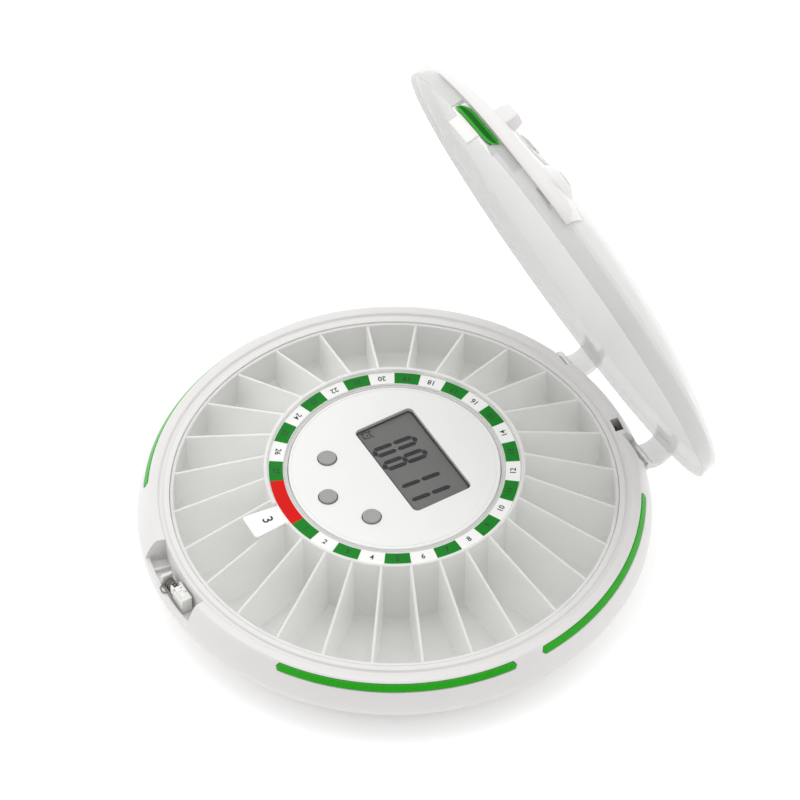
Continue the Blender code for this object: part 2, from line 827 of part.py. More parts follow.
def build_base_housing():
    housing = turned("base_housing", housing_outline(), WHITE, closed=False)
    notch_low = NOTCH_DEPTH + NOTCH_FLOOR
    notch_ends = (NOTCH_START_AZ - NOTCH_MARGIN_AZ, NOTCH_END_AZ + NOTCH_MARGIN_AZ)
    notch_block = inside_skirt_block("notch_block", notch_low, *notch_ends)
    hinge_ends = (90 - HINGE_BLOCK_AZ, 90 + HINGE_BLOCK_AZ)
    hinge_block = inside_skirt_block("hinge_block", HINGE_BLOCK_DROP, *hinge_ends)
    fuse(housing, notch_block, hinge_block)
    cut(housing, notch_cutter(), hinge_pocket_cutter(), hinge_bed_cutter())
    for side in (-1, 1):
        cut(housing, arm_slot_cutter(side), pin_bore_cutter(side))
    for start, end in strip_spans():
        cut(housing, strip_piece("strip_recess", start, end, GAP, WHITE))
    post_low_x = -BLOCK_LENGTH / 2 - CATCH_SPRING_LENGTH - GAP - POST_LENGTH
    middle_y = block_middle_y()
    post = box(
        "spring_post",
        (post_low_x, middle_y - BLOCK_WIDTH / 2, notch_floor_z - BITE),
        (post_low_x + POST_LENGTH, middle_y + BLOCK_WIDTH / 2, notch_floor_z + POST_HEIGHT),
    )
    fuse(housing, post)
    floor_bottom = WELL_FLOOR_HEIGHT - BASE_WALL
    for place in screw_places():
        centre = (place.x, place.y)
        top = floor_bottom + BITE
        fuse(housing, cylinder("screw_boss", SCREW_BOSS, plate_top + GAP, top, centre, SMALL_FACETS))
    for place in screw_places():
        centre = (place.x, place.y)
        top = plate_top + GAP + BASE_WALL + OVERRUN
        cut(housing, cylinder("screw_bore", SCREW_SHANK + GAP, plate_top - GAP, top, centre, BORE_FACETS))
    motor, idler = motor_place()
    window_half = gear_module * IDLER_TEETH / 2 + gear_module
    low = (-window_half, HUB_RADIUS - HUB_WALL - OVERRUN, deck_top - GAP)
    high = (window_half, shoulder_radius - OVERRUN, gear_top + RUNNING_GAP)
    cut(housing, box("gear_window", low, high))
    axle_top = gear_top + BITE
    centre = (idler.x, idler.y)
    fuse(housing, cylinder("idler_axle", AXLE_RADIUS, deck_top - BITE, axle_top, centre, SMALL_FACETS))
    for side in (-1, 1):
        centre = (motor.x + side * MOTOR_EAR_REACH, motor.y)
        top = motor_bottom - GAP
        radius = MOTOR_EAR_RADIUS - GAP
        fuse(housing, cylinder("motor_post", radius, deck_top - BITE, top, centre, SMALL_FACETS))
    return housing


def block_middle_y():
    lip_inner = skirt_radius(lip_z) - LIP_WALL
    return -(notch_radius + lip_inner) / 2


# Light strips and base plate
def build_light_strips():
    for number, (start, end) in enumerate(strip_spans(), 1):
        strip_piece(f"light_strip_{number}", start, end, 0.0, GREEN)


def box_half_sizes():
    """Half the inside of the battery box: across the cells and along them."""
    half_x = CELLS * CELL_PITCH / 2 + GAP
    half_y = (CELL_LENGTH + CELL_NUB_LENGTH) / 2 + CONTACT_THICKNESS + 2 * GAP
    return half_x, half_y


def rectangle(half_x, half_y, corner=0.0, centre=(0.0, 0.0), steps=CORNER_FACETS):
    """A rectangle's outline, with round corners if a radius is given."""
    if not corner:
        points = [(-half_x, -half_y), (half_x, -half_y), (half_x, half_y), (-half_x, half_y)]
    else:
        points = []
        for quarter, (sx, sy) in enumerate(((1, 1), (-1, 1), (-1, -1), (1, -1))):
            middle = (sx * (half_x - corner), sy * (half_y - corner))
            points += arc(middle, corner, 90 * quarter, 90 * quarter + 90, steps)
    return [(x + centre[0], y + centre[1]) for x, y in points]


def build_base_plate():
    half_x, half_y = box_half_sizes()
    loops = [circle(foot_ring_radius - BASE_WALL - GAP, STEPS), rectangle(half_x, half_y)]
    loops += [shifted(circle(SCREW_SHANK + GAP, BORE_FACETS), place) for place in screw_places()]
    plate = flat("base_plate", loops, plate_bottom, plate_top)
    for place in screw_places():
        centre = (place.x, place.y)
        sink = plate_bottom + SCREW_HEAD_THICKNESS + GAP
        low = plate_bottom - OVERRUN
        cut(plate, cylinder("plate_sink", SCREW_HEAD + GAP, low, sink, centre, SMALL_FACETS))


def build_base_screws():
    for number, place in enumerate(screw_places(), 1):
        top = plate_top + GAP + BASE_WALL
        head_top = plate_bottom + SCREW_HEAD_THICKNESS
        outline = [
            (0.0, top),
            (SCREW_SHANK, top - SCREW_SHANK / 2),
            (SCREW_SHANK, head_top),
            (SCREW_HEAD, head_top),
            (SCREW_HEAD, plate_bottom + half_gap),
            (0.0, plate_bottom + half_gap),
        ]
        mesh = screwed(outline, 360, SCREW_FACETS, False)
        made = add_object(f"base_screw_{number}", tidy_mesh(mesh, Matrix.Translation(place)), ZINC)
        set_origin(made, place)


def build_feet():
    for number in range(4):
        quarter = 90 * (number // 2 * 2)
        side = 1 if number % 2 else -1
        place = polar(FOOT_REACH, quarter + side * FOOT_AZ)
        centre = (place.x, place.y)
        cylinder(f"foot_{number + 1}", FOOT_RADIUS, 0.0, FOOT_HEIGHT, centre, ROUND_FACETS, RUBBER)


def build_battery_bay():
    half_x, half_y = box_half_sizes()
    outer = rectangle(half_x + BOX_WALL, half_y + BOX_WALL)
    inner = rectangle(half_x, half_y)
    flat("battery_box", [outer, inner], plate_top + GAP, deck_bottom - GAP, NATURAL)
    for number in range(CELLS):
        centre_x = (number - (CELLS - 1) / 2) * CELL_PITCH
        facing = 1 if number % 2 else -1
        build_cell(f"battery_{number + 1}", centre_x, facing)
    for name, side in (("contact_front", -1), ("contact_back", 1)):
        inner_y = side * (half_y - GAP - CONTACT_THICKNESS)
        outer_y = side * (half_y - GAP)
        low_y, high_y = sorted((inner_y, outer_y))
        reach = half_x - BOX_WALL
        low = (-reach, low_y, cell_axis_height - CONTACT_HEIGHT / 2)
        high = (reach, high_y, cell_axis_height + CONTACT_HEIGHT / 2)
        box(name, low, high, STEEL)
    door_x = half_x - DOOR_PLAY
    door_y = half_y - DOOR_PLAY
    door = box("battery_door", (-door_x, -door_y, plate_bottom), (door_x, door_y, plate_top), WHITE)
    pad = cylinder("door_foot", FOOT_RADIUS, 0.0, FOOT_HEIGHT, sides=ROUND_FACETS, material=RUBBER)
    empty = make_empty("battery_door_hinge", battery_hinge_place())
    ride(door, empty, battery_hinge_place())
    ride(pad, empty, battery_hinge_place())


def battery_hinge_place():
    _, half_y = box_half_sizes()
    return Vector((0.0, -half_y + DOOR_PLAY + PLATE_THICKNESS / 2, plate_bottom))


def build_cell(name, centre_x, facing):
    """One AA cell lying along Y, its nub at one end."""
    half = CELL_LENGTH / 2
    outline = [
        (0.0, half + CELL_NUB_LENGTH),
        (CELL_NUB_RADIUS, half + CELL_NUB_LENGTH),
        (CELL_NUB_RADIUS, half),
        (CELL_RADIUS, half),
        (CELL_RADIUS, -half),
        (0.0, -half),
    ]
    mesh = screwed(outline, 360, SMALL_FACETS, False)
    move = Matrix.Translation((centre_x, -facing * CELL_NUB_LENGTH / 2, cell_axis_height))
    turn = Matrix.Rotation(math.radians(-90 * facing), 4, "X")
    add_object(name, tidy_mesh(mesh, move @ turn), CELL_SKIN)


# Tray, printed ring and drive
def tray_outline():
    """From the lip by the ring, down the inner wall, along the floor and up the outer wall."""
    inner = tray_inner_radius - TRAY_WALL
    return [
        (tray_inner_radius, tray_crest),
        (tray_inner_radius, tray_floor_top),
        (pocket_outer_radius, tray_floor_top),
        (pocket_outer_radius, divider_low),
        (tray_outer_radius, divider_low),
        (tray_outer_radius, tray_bottom),
        (inner, tray_bottom),
        (inner, flange_bottom),
        (tray_hole_radius, flange_bottom),
        (tray_hole_radius, flange_top),
        (inner, flange_top),
        (inner, tray_crest),
    ]


def build_divider(number):
    """One radial wall between pockets, whose top slopes down towards the rim."""
    inner = tray_inner_radius - BITE
    outer = pocket_outer_radius + BITE
    low = tray_floor_top - BITE
    loop = [(inner, low), (outer, low), (outer, divider_low - GAP), (inner, tray_crest - GAP)]
    made = upright(f"divider_{number}", loop, -DIVIDER / 2, DIVIDER / 2, FROSTED)
    turn = math.radians(FIRST_WALL_AZ - 90 + 360 / POCKETS * number)
    made.data.transform(Matrix.Rotation(turn, 4, "Z"))
    return made


def joined(name, pieces):
    """Separate bodies gathered into one mesh, as one tool for a Boolean."""
    shape = bmesh.new()
    for piece in pieces:
        shape.from_mesh(piece.data)
    mesh = bpy.data.meshes.new(name)
    shape.to_mesh(mesh)
    shape.free()
    for piece in pieces:
        bpy.data.objects.remove(piece, do_unlink=True)
    return add_object(name, mesh, WHITE)


def lug_spans(extra=0.0):
    half = LUG_ANGLE / 2 + math.degrees(extra / ring_inner_radius)
    return [(45 + 360 / LUGS * i - half, 45 + 360 / LUGS * i + half) for i in range(LUGS)]


def sleeve_radii():
    return sleeve_radius - SLEEVE_WALL, sleeve_radius


def build_tray():
    tray = turned("pill_tray", tray_outline(), FROSTED, start=FIRST_WALL_AZ)
    fuse(tray, joined("dividers", [build_divider(i) for i in range(POCKETS)]))
    inner, outer = sleeve_radii()
    band = [
        (outer + GAP, flange_top + OVERRUN),
        (outer + GAP, flange_bottom - OVERRUN),
        (inner - GAP, flange_bottom - OVERRUN),
        (inner - GAP, flange_top + OVERRUN),
    ]
    slots = [sector("lug_slot", band, start, end, POCKET_FACETS) for start, end in lug_spans(GAP)]
    cut(tray, joined("lug_slots", slots))
    gate_reach = ring_outer_radius + TAB_REACH + GAP
    inner = tray_inner_radius - TRAY_WALL - SLIGHT_BITE
    above = tray_crest + OVERRUN
    crest = [(gate_reach, above), (gate_reach, flange_top), (inner, flange_top), (inner, above)]
    spread = math.degrees(GAP / tray_inner_radius)
    cut(tray, sector("tab_gate", crest, TAB_START_AZ - spread, TAB_END_AZ + spread, POCKET_FACETS))


def build_dosage_ring():
    outline = [
        (ring_outer_radius, HUB_HEIGHT),
        (ring_outer_radius, ring_bottom),
        (ring_inner_radius, ring_bottom),
        (ring_inner_radius, HUB_HEIGHT),
    ]
    ring = turned("dosage_ring", outline, RING_CARD)
    tab_end = ring_outer_radius + TAB_REACH
    tab = [
        (tab_end, HUB_HEIGHT),
        (tab_end, ring_bottom),
        (ring_outer_radius - BITE, ring_bottom),
        (ring_outer_radius - BITE, HUB_HEIGHT),
    ]
    fuse(ring, sector("dose_tab", tab, TAB_START_AZ, TAB_END_AZ, TAB_FACETS))


def involute(angle):
    return math.tan(angle) - angle


def gear_loop(teeth, addendum, dedendum, slack, turn, shares=FLANK_SHARES):
    """A gear's outline with involute flanks, its teeth thinned by the slack. One tooth points at the turn."""
    pitch_radius = gear_module * teeth / 2
    pressure = math.radians(PRESSURE_ANGLE)
    base = pitch_radius * math.cos(pressure)
    root = pitch_radius - dedendum
    tip = pitch_radius + addendum
    half_at_pitch = math.pi / (2 * teeth) - slack / (2 * pitch_radius)
    low = max(root, base)
    flank = []
    for share in shares:
        radius = low + (tip - low) * share
        rolled = math.acos(min(1.0, base / radius))
        flank.append((radius, half_at_pitch + involute(pressure) - involute(rolled)))
    if root < low:
        flank.insert(0, (root, flank[0][1]))
    points = []
    for number in range(teeth):
        middle = math.radians(turn) + 2 * math.pi * number / teeth
        for radius, half in flank:
            points.append((radius * math.cos(middle - half), radius * math.sin(middle - half)))
        for radius, half in reversed(flank):
            points.append((radius * math.cos(middle + half), radius * math.sin(middle + half)))
    return points


def shifted(loop, centre):
    return [(x + centre.x, y + centre.y) for x, y in loop]


def circle(radius, steps):
    return arc((0.0, 0.0), radius, 0, 360 - 360 / steps, steps - 1)


def build_drive():
    """The inside gear with its sleeve, the idler on its axle and the pinion on the motor's shaft."""
    motor, idler = motor_place()
    addendum = ADDENDUM_SHARE * gear_module
    dedendum = DEDENDUM_SHARE * gear_module
    inner, outer = sleeve_radii()
    hollow = gear_loop(RING_TEETH, dedendum, addendum, -BACKLASH, 90.0, RING_FLANK_SHARES)
    ring = flat("drive_ring", [circle(outer, STEPS), hollow], gear_bottom, gear_top, GEAR_WHITE)
    top = flange_bottom - GAP
    skin = outer - SLIGHT_BITE
    sleeve_low = gear_top - BITE
    sleeve = [(skin, top), (skin, sleeve_low), (inner, sleeve_low), (inner, top)]
    fuse(ring, turned("drive_sleeve", sleeve, GEAR_WHITE))
    lug_high = flange_top - GAP
    lug_low = top - BITE
    lug = [(skin, lug_high), (skin, lug_low), (inner, lug_low), (inner, lug_high)]
    lugs = [sector("lug", lug, start, end, POCKET_FACETS) for start, end in lug_spans()]
    fuse(ring, joined("drive_lugs", lugs))
    idler_loop = gear_loop(IDLER_TEETH, addendum, dedendum, BACKLASH, 90.0)
    bore = circle(AXLE_RADIUS + GAP, SMALL_FACETS)
    loops = [shifted(idler_loop, idler), shifted(bore, idler)]
    made = flat("idler_gear", loops, gear_bottom, gear_top, GEAR_WHITE)
    set_origin(made, idler)
    pinion_loop = gear_loop(PINION_TEETH, addendum, dedendum, BACKLASH, pinion_phase())
    made = flat("motor_pinion", [shifted(pinion_loop, motor)], gear_bottom, gear_top, GEAR_WHITE)
    centre = (motor.x, motor.y)
    fuse(made, cylinder("motor_shaft", SHAFT_RADIUS, gear_top - BITE, shaft_top, centre, BORE_FACETS))
    ride(made, make_empty("pinion_axis", motor), motor)


def pinion_phase():
    """The pinion's turn that sets a gap of it against the idler's tooth that points down at it."""
    idler_down_is_tooth = IDLER_TEETH % 2 == 0
    return 90.0 + (180.0 / PINION_TEETH if idler_down_is_tooth else 0.0)


def build_motor():
    motor, _ = motor_place()
    bottom = motor_bottom
    centre = (motor.x, motor.y)
    body = cylinder("drive_motor", MOTOR_RADIUS, bottom, motor_top, centre, WIDE_FACETS, ZINC)
    ears = box(
        "motor_ears",
        (motor.x - MOTOR_EAR_REACH, motor.y - MOTOR_EAR_RADIUS, bottom),
        (motor.x + MOTOR_EAR_REACH, motor.y + MOTOR_EAR_RADIUS, bottom + MOTOR_EAR_THICKNESS),
    )
    fuse(body, ears)
    for side in (-1, 1):
        place = (motor.x + side * MOTOR_EAR_REACH, motor.y)
        ear_top = bottom + MOTOR_EAR_THICKNESS
        fuse(body, cylinder("motor_ear", MOTOR_EAR_RADIUS, bottom, ear_top, place, SMALL_FACETS))
    ends = (bottom - OVERRUN, shaft_top + GAP)
    cut(body, cylinder("shaft_bore", SHAFT_RADIUS + GAP, *ends, centre, BORE_FACETS))


# Hub
def button_places():
    side = SIDE_BUTTON_X
    return [(-side, side_button_y), (0.0, middle_button_y), (side, side_button_y)]


def build_hub_cover():
    """The white disc with its rim, a window, three button holes and bosses for the board."""
    loops = [circle(HUB_RADIUS, STEPS)]
    loops.append(rectangle(WINDOW_WIDTH / 2, WINDOW_DEPTH / 2, WINDOW_CORNER, (0.0, WINDOW_OFFSET)))
    for centre in button_places():
        hole = circle(BUTTON_RADIUS + BUTTON_GAP, ROUND_FACETS)
        loops.append(shifted(hole, Vector((*centre, 0.0))))
    cover = flat("hub_cover", loops, cover_bottom, HUB_HEIGHT, HUB_WHITE)
    top = cover_bottom + BITE
    low = cover_bottom - COVER_RIM_HEIGHT
    outer = HUB_RADIUS - SLIGHT_BITE
    inner = HUB_RADIUS - HUB_WALL
    rim = [(outer, top), (outer, low), (inner, low), (inner, top)]
    fuse(cover, turned("cover_rim", rim, HUB_WHITE))
    for number in range(BOSSES):
        place = polar(boss_reach, FIRST_BOSS_AZ + 360 / BOSSES * number)
        centre = (place.x, place.y)
        fuse(cover, cylinder("board_boss", BOSS_RADIUS, board_top + GAP, top, centre, BORE_FACETS))


def build_display():
    """The lens in its window, the glass cell under it and the frame that seats the cell on the board."""
    centre = (0.0, WINDOW_OFFSET)
    half_x = WINDOW_WIDTH / 2 - GAP
    half_y = WINDOW_DEPTH / 2 - GAP
    lens_top = HUB_HEIGHT - LENS_SINK
    lens_bottom = lens_top - LENS_THICKNESS
    flat("display_lens", [rectangle(half_x, half_y, WINDOW_CORNER, centre)], lens_bottom, lens_top, LENS)
    cell_top = lens_bottom - GAP
    cell_bottom = cell_top - PANEL_THICKNESS
    cell = rectangle(half_x - PANEL_MARGIN, half_y - PANEL_MARGIN, 0.0, centre)
    flat("display_cell", [cell], cell_bottom, cell_top, DISPLAY)
    hole = rectangle(half_x - PANEL_BORDER, half_y - PANEL_BORDER, 0.0, centre)
    frame = rectangle(half_x - PANEL_MARGIN, half_y - PANEL_MARGIN, 0.0, centre)
    flat("display_frame", [frame, hole], board_top + GAP, cell_bottom - GAP, BLACK)


def build_buttons():
    for number, centre in enumerate(button_places(), 1):
        top = HUB_HEIGHT + BUTTON_RISE
        flange_top_z = cover_bottom - GAP
        flange_low = flange_top_z - BUTTON_FLANGE_THICKNESS
        outline = [
            (0.0, top),
            (BUTTON_RADIUS - GAP, top),
            (BUTTON_RADIUS, top - GAP),
            (BUTTON_RADIUS, flange_top_z),
            (BUTTON_RADIUS + BUTTON_FLANGE, flange_top_z),
            (BUTTON_RADIUS + BUTTON_FLANGE, flange_low),
            (0.0, flange_low),
        ]
        mesh = screwed(outline, 360, BUTTON_FACETS, False)
        move = Matrix.Translation((centre[0], centre[1], 0.0))
        made = add_object(f"hub_button_{number}", tidy_mesh(mesh, move), BUTTON_GREY)
        set_origin(made, (centre[0], centre[1], flange_top_z))


def build_board():
    """The circuit board, the rubber mat under the buttons, the buzzer and the controller chip."""
    board = ("circuit_board", board_radius, board_bottom, board_top)
    cylinder(*board, sides=BOARD_FACETS, material=BOARD_GREEN)
    reach = math.hypot(SIDE_BUTTON_X, side_button_y)
    side_az = math.degrees(math.atan2(-side_button_y, SIDE_BUTTON_X))
    spread = math.degrees(MAT_MARGIN / reach)
    inner = reach - MAT_MARGIN
    outer = -middle_button_y + MAT_MARGIN
    low = board_top + GAP
    high = low + MAT_THICKNESS
    outline = [(outer, high), (outer, low), (inner, low), (inner, high)]
    start = 180 + side_az - spread
    sector("button_mat", outline, start, 540 - start, MAT_FACETS, BUTTON_GREY)
    top = board_bottom - GAP
    centre = (BUZZER_INSET - board_radius, BUZZER_Y)
    cylinder("buzzer", BUZZER_RADIUS, top - BUZZER_HEIGHT, top, centre, ROUND_FACETS, BLACK)
    half = CHIP_SIDE / 2
    low_corner = (CHIP_X - half, CHIP_Y - half, top - CHIP_THICKNESS)
    box("controller_chip", low_corner, (CHIP_X + half, CHIP_Y + half, top), BLACK)


# Latch parts in the notch
def helix(start, end, radius, curls, turn=0.0):
    """Points of a coil about an axis along X, whose ends run straight for one wire's width."""
    count = curls * CURL_POINTS
    points = []
    for number in range(count + 1):
        angle = math.radians(turn) + 2 * math.pi * number / CURL_POINTS
        x = start.x + (end.x - start.x) * number / count
        points.append(Vector((x, start.y + radius * math.cos(angle), start.z + radius * math.sin(angle))))
    return points


def least_gap(points, wire_radius, per_turn):
    """The least gap between the wire's turns, measured between points at least half a turn apart."""
    best = None
    for i, first in enumerate(points):
        for second in points[i + per_turn // 2 + 1 :]:
            found = (first - second).length - 2 * wire_radius
            best = found if best is None else min(best, found)
    return best


def build_catch():
    """The sliding catch, the spring that pushes it and the bent wire behind."""
    middle_y = block_middle_y()
    half = BLOCK_LENGTH / 2
    floor = notch_floor_z + GAP
    low = (-half, middle_y - BLOCK_WIDTH / 2, floor)
    high = (half, middle_y + BLOCK_WIDTH / 2, floor + BLOCK_HEIGHT)
    catch = box("latch_catch", low, high, NATURAL, BLOCK_BEVEL)
    axis_z = floor + CATCH_SPRING_RADIUS + 2 * CATCH_WIRE + GAP
    well = rod(
        "catch_well",
        CATCH_SPRING_RADIUS + CATCH_WIRE + GAP,
        -half - OVERRUN,
        -half + BLOCK_WELL_DEPTH,
        middle_y,
        axis_z,
        SMALL_FACETS,
    )
    cut(catch, well)
    start = Vector((-half - CATCH_SPRING_LENGTH + CATCH_WIRE, middle_y, axis_z))
    end = Vector((-half + BLOCK_WELL_DEPTH - GAP - CATCH_WIRE, middle_y, axis_z))
    points = helix(start, end, CATCH_SPRING_RADIUS, CATCH_CURLS)
    gap = least_gap(points, CATCH_WIRE, CURL_POINTS)
    print(f"latch spring: least gap between curls {1000 * gap:.2f} mm")
    wire("latch_spring", points, CATCH_WIRE, STEEL)
    loop_x = -half - CATCH_SPRING_LENGTH / 2
    loop_y = middle_y - CATCH_SPRING_RADIUS - 2 * CATCH_WIRE - GAP
    loop_z = lip_z + CATCH_WIRE + GAP
    loop = [Vector((x, y, loop_z)) for x, y in arc((loop_x, loop_y), LOOP_RADIUS, 180, 360, LOOP_FACETS)]
    wire("latch_wire", loop, CATCH_WIRE, STEEL)


# Hinge
def build_hinge():
    """The two pins and the torsion spring that lifts the lid."""
    for name, side in (("hinge_pin_left", -1), ("hinge_pin_right", 1)):
        low, high = sorted((side * PIN_INNER_X, side * (ARM_INNER_X + ARM_WIDTH - GAP)))
        rod(name, PIN_RADIUS, low, high, pivot_y, pivot_z, SMALL_FACETS, STEEL)
    start_x, end_x = hinge_spring_ends()
    start = Vector((start_x, pivot_y, pivot_z))
    end = Vector((end_x, pivot_y, pivot_z))
    points = helix(start, end, HINGE_SPRING_RADIUS, HINGE_CURLS, 180.0)
    gap = least_gap(points, HINGE_WIRE, CURL_POINTS)
    print(f"hinge spring: least gap between curls {1000 * gap:.2f} mm")
    up = Vector((0.0, 0.0, 1.0))
    points = [points[0] + SPRING_LEG * up] + points + [points[-1] + SPRING_LEG * up]
    wire("hinge_spring", points, HINGE_WIRE, STEEL)


# Lid
def dome_z(radius):
    """The lid's outer height at a radius: a shallow dome inside its corner."""
    return lid_top - LID_RISE * (radius / lid_corner_radius) ** LID_CURVE


DOME_SHARES = (0.0, 0.5, 0.82, 1.0)


def lid_outline():
    """From the middle of the dome over the corner, down the wall, and back up inside."""
    outer = [(lid_corner_radius * s, dome_z(lid_corner_radius * s)) for s in DOME_SHARES]
    wall_top = lid_bottom + LID_WALL_HEIGHT
    outer += [(lid_radius - LID_DRAFT, wall_top), (lid_radius, lid_bottom)]
    inner_corner = lid_corner_radius - LID_WALL / 2
    inner = [(lid_radius - LID_WALL, lid_bottom)]
    inner += [(lid_radius - LID_DRAFT - LID_WALL, wall_top - LID_WALL / 2)]
    inner += [(inner_corner * s, dome_z(inner_corner * s) - LID_WALL) for s in reversed(DOME_SHARES)]
    return outer + inner


def arm_piece(side):
    """A C-shaped arm: an arc that leaves the lid's wall, goes round the rim's edge and ends in an eye."""
    centre = (pivot_y - ARM_CURVE_IN, pivot_z + ARM_CURVE_UP)
    outer = ARM_CURVE_RADIUS + ARM_THICKNESS / 2
    inner = ARM_CURVE_RADIUS - ARM_THICKNESS / 2
    root_y = lid_radius * math.cos(math.radians(HINGE_BLOCK_AZ)) - LID_WALL
    loop = arc(centre, outer, ARM_CURVE_START, 90, ARM_OUTER_FACETS)
    loop += [(root_y, centre[1] + outer), (root_y, centre[1] + inner)]
    loop += arc(centre, inner, 90, ARM_CURVE_START, ARM_INNER_FACETS)
    low, high = sorted((side * ARM_INNER_X, side * (ARM_INNER_X + ARM_WIDTH)))
    arm = upright("lid_arm", loop, low, high, LID_FROSTED)
    return arm, low, high


def lid_inside_cutter(bottom, top, radius):
    return cylinder("lid_inside", radius, bottom, top, sides=STEPS)


def build_lid(empty):
    lid = turned("lid_shell", lid_outline(), LID_FROSTED, closed=False)
    for side in (-1, 1):
        arm, low, high = arm_piece(side)
        fuse(arm, rod("arm_eye", EYE_RADIUS, low, high, pivot_y, pivot_z))
        cut(arm, lid_inside_cutter(pivot_z - OVERRUN, lid_top, lid_radius - LID_WALL + BITE))
        ends = (low - OVERRUN, high + OVERRUN)
        cut(arm, rod("eye_bore", PIN_RADIUS + GAP, *ends, pivot_y, pivot_z, SMALL_FACETS))
        fuse(lid, baked(arm))
    spread = PRESS_HALF_ANGLE + PRESS_SIDE_GAP_AZ
    window_top = lid_bottom + PRESS_FACE_RISE + GAP
    window = [
        (lid_radius + OVERRUN, window_top),
        (lid_radius + OVERRUN, lid_bottom - OVERRUN),
        (lid_radius - LID_WALL - OVERRUN, lid_bottom - OVERRUN),
        (lid_radius - LID_WALL - OVERRUN, window_top),
    ]
    cut(lid, sector("press_window", window, PRESS_AZ - spread, PRESS_AZ + spread, PRESS_STEPS))
    cut(lid, door_opening_cutter())
    place = polar(lock_reach, LOCK_AZ)
    bore = cylinder("lock_bore", BARREL_RADIUS + GAP, lid_bottom, lid_top, (place.x, place.y))
    cut(lid, bore)
    ride(lid, empty, PIVOT)


def baked(made):
    """The piece with its Boolean steps applied, as one plain mesh, its cutters removed."""
    name = made.name
    tools = [m.object for m in made.modifiers if m.type == "BOOLEAN"]
    bpy.context.view_layer.update()
    graph = bpy.context.evaluated_depsgraph_get()
    mesh = bpy.data.meshes.new_from_object(made.evaluated_get(graph))
    material = made.data.materials[0]
    for old in [made, *tools]:
        bpy.data.objects.remove(old, do_unlink=True)
    return add_object(name, mesh, material)


def door_opening_cutter():
    """The opening over one pocket, through which the pills leave, with a ledge for its door."""
    inner = door_inner_radius + DOOR_LEDGE
    outer = door_outer_radius - DOOR_LEDGE
    half = DOOR_HALF_ANGLE - DOOR_LEDGE_AZ
    high = dome_z(inner) + OVERRUN
    low = dome_z(outer) - LID_WALL - OVERRUN
    outline = [(outer, high), (outer, low), (inner, low), (inner, high)]
    return sector("door_hole", outline, DOOR_AZ - half, DOOR_AZ + half, DOOR_STEPS)


def build_pill_door(empty):
    """A thin door that lies on the lid over the opening and swings up on its inner edge."""
    inner = door_inner_radius
    outer = door_outer_radius
    low_inner = dome_z(inner) + GAP
    low_outer = dome_z(outer) + GAP
    outline = [
        (outer, low_outer + DOOR_THICKNESS),
        (outer, low_outer),
        (inner, low_inner),
        (inner, low_inner + DOOR_THICKNESS),
    ]
    start, end = DOOR_AZ - DOOR_HALF_ANGLE, DOOR_AZ + DOOR_HALF_ANGLE
    door = sector("pill_door", outline, start, end, DOOR_STEPS, LID_FROSTED)
    home = door_hinge_home()
    hinge = make_empty("pill_door_hinge", home, empty, PIVOT)
    ride(door, hinge, home)


def door_hinge_home():
    chord = door_inner_radius * math.cos(math.radians(DOOR_HALF_ANGLE))
    return polar(chord, DOOR_AZ, dome_z(door_inner_radius) + GAP + DOOR_THICKNESS)


def housing_outline_on_lid():
    """A raised band that wraps the lid's corner, a gap off the lid all the way."""
    wall_top = lid_bottom + LID_WALL_HEIGHT
    low = lid_bottom + HOUSING_LIFT
    inner_radius = housing_inner_radius
    middle_radius = (lid_corner_radius + inner_radius) / 2
    top_z = dome_z(lid_corner_radius) + HOUSING_PROUD + HOUSING_CORNER
    outside = lid_radius + HOUSING_PROUD
    over = [
        (inner_radius, dome_z(inner_radius) + GAP + BITE),
        (inner_radius + HOUSING_CORNER, top_z + BITE),
        (lid_corner_radius - HOUSING_CORNER, top_z),
        (outside - HOUSING_CORNER, top_z - HOUSING_CORNER),
        (outside - LID_DRAFT, wall_top),
        (outside - LID_DRAFT, low + BITE),
        (lid_radius + GAP + BITE, low),
        (lid_radius + GAP, low),
    ]
    under = [
        (lid_radius - LID_DRAFT + 2 * GAP, wall_top + GAP),
        (lid_corner_radius + GAP, lid_corner_z + 2 * GAP),
        (middle_radius, dome_z(middle_radius) + GAP),
        (inner_radius, dome_z(inner_radius) + GAP),
    ]
    return over + under


def build_lid_housing(empty):
    ends = (HOUSING_START_AZ, HOUSING_END_AZ)
    housing = sector("lid_housing", housing_outline_on_lid(), *ends, HOUSING_STEPS)
    tab_radius = lid_radius + HOUSING_PROUD - LIFT_TAB_INSET
    base_z = dome_z(lid_corner_radius) + HOUSING_PROUD
    tab = box(
        "lift_tab",
        (tab_radius - LIFT_TAB_DEPTH / 2, -LIFT_TAB_WIDTH / 2, base_z - BITE),
        (tab_radius + LIFT_TAB_DEPTH / 2, LIFT_TAB_WIDTH / 2, base_z + HOUSING_CORNER + LIFT_TAB_RISE),
        WHITE,
        LIFT_TAB_BEVEL,
    )
    tab = baked(tab)
    tab.data.transform(Matrix.Rotation(math.radians(LIFT_TAB_AZ), 4, "Z"))
    fuse(housing, tab)
    place = polar(lock_reach, LOCK_AZ)
    bore = cylinder("lock_bore", BARREL_RADIUS + GAP, lid_bottom, lid_top + OVERRUN, (place.x, place.y))
    cut(housing, bore)
    ride(housing, empty, PIVOT)


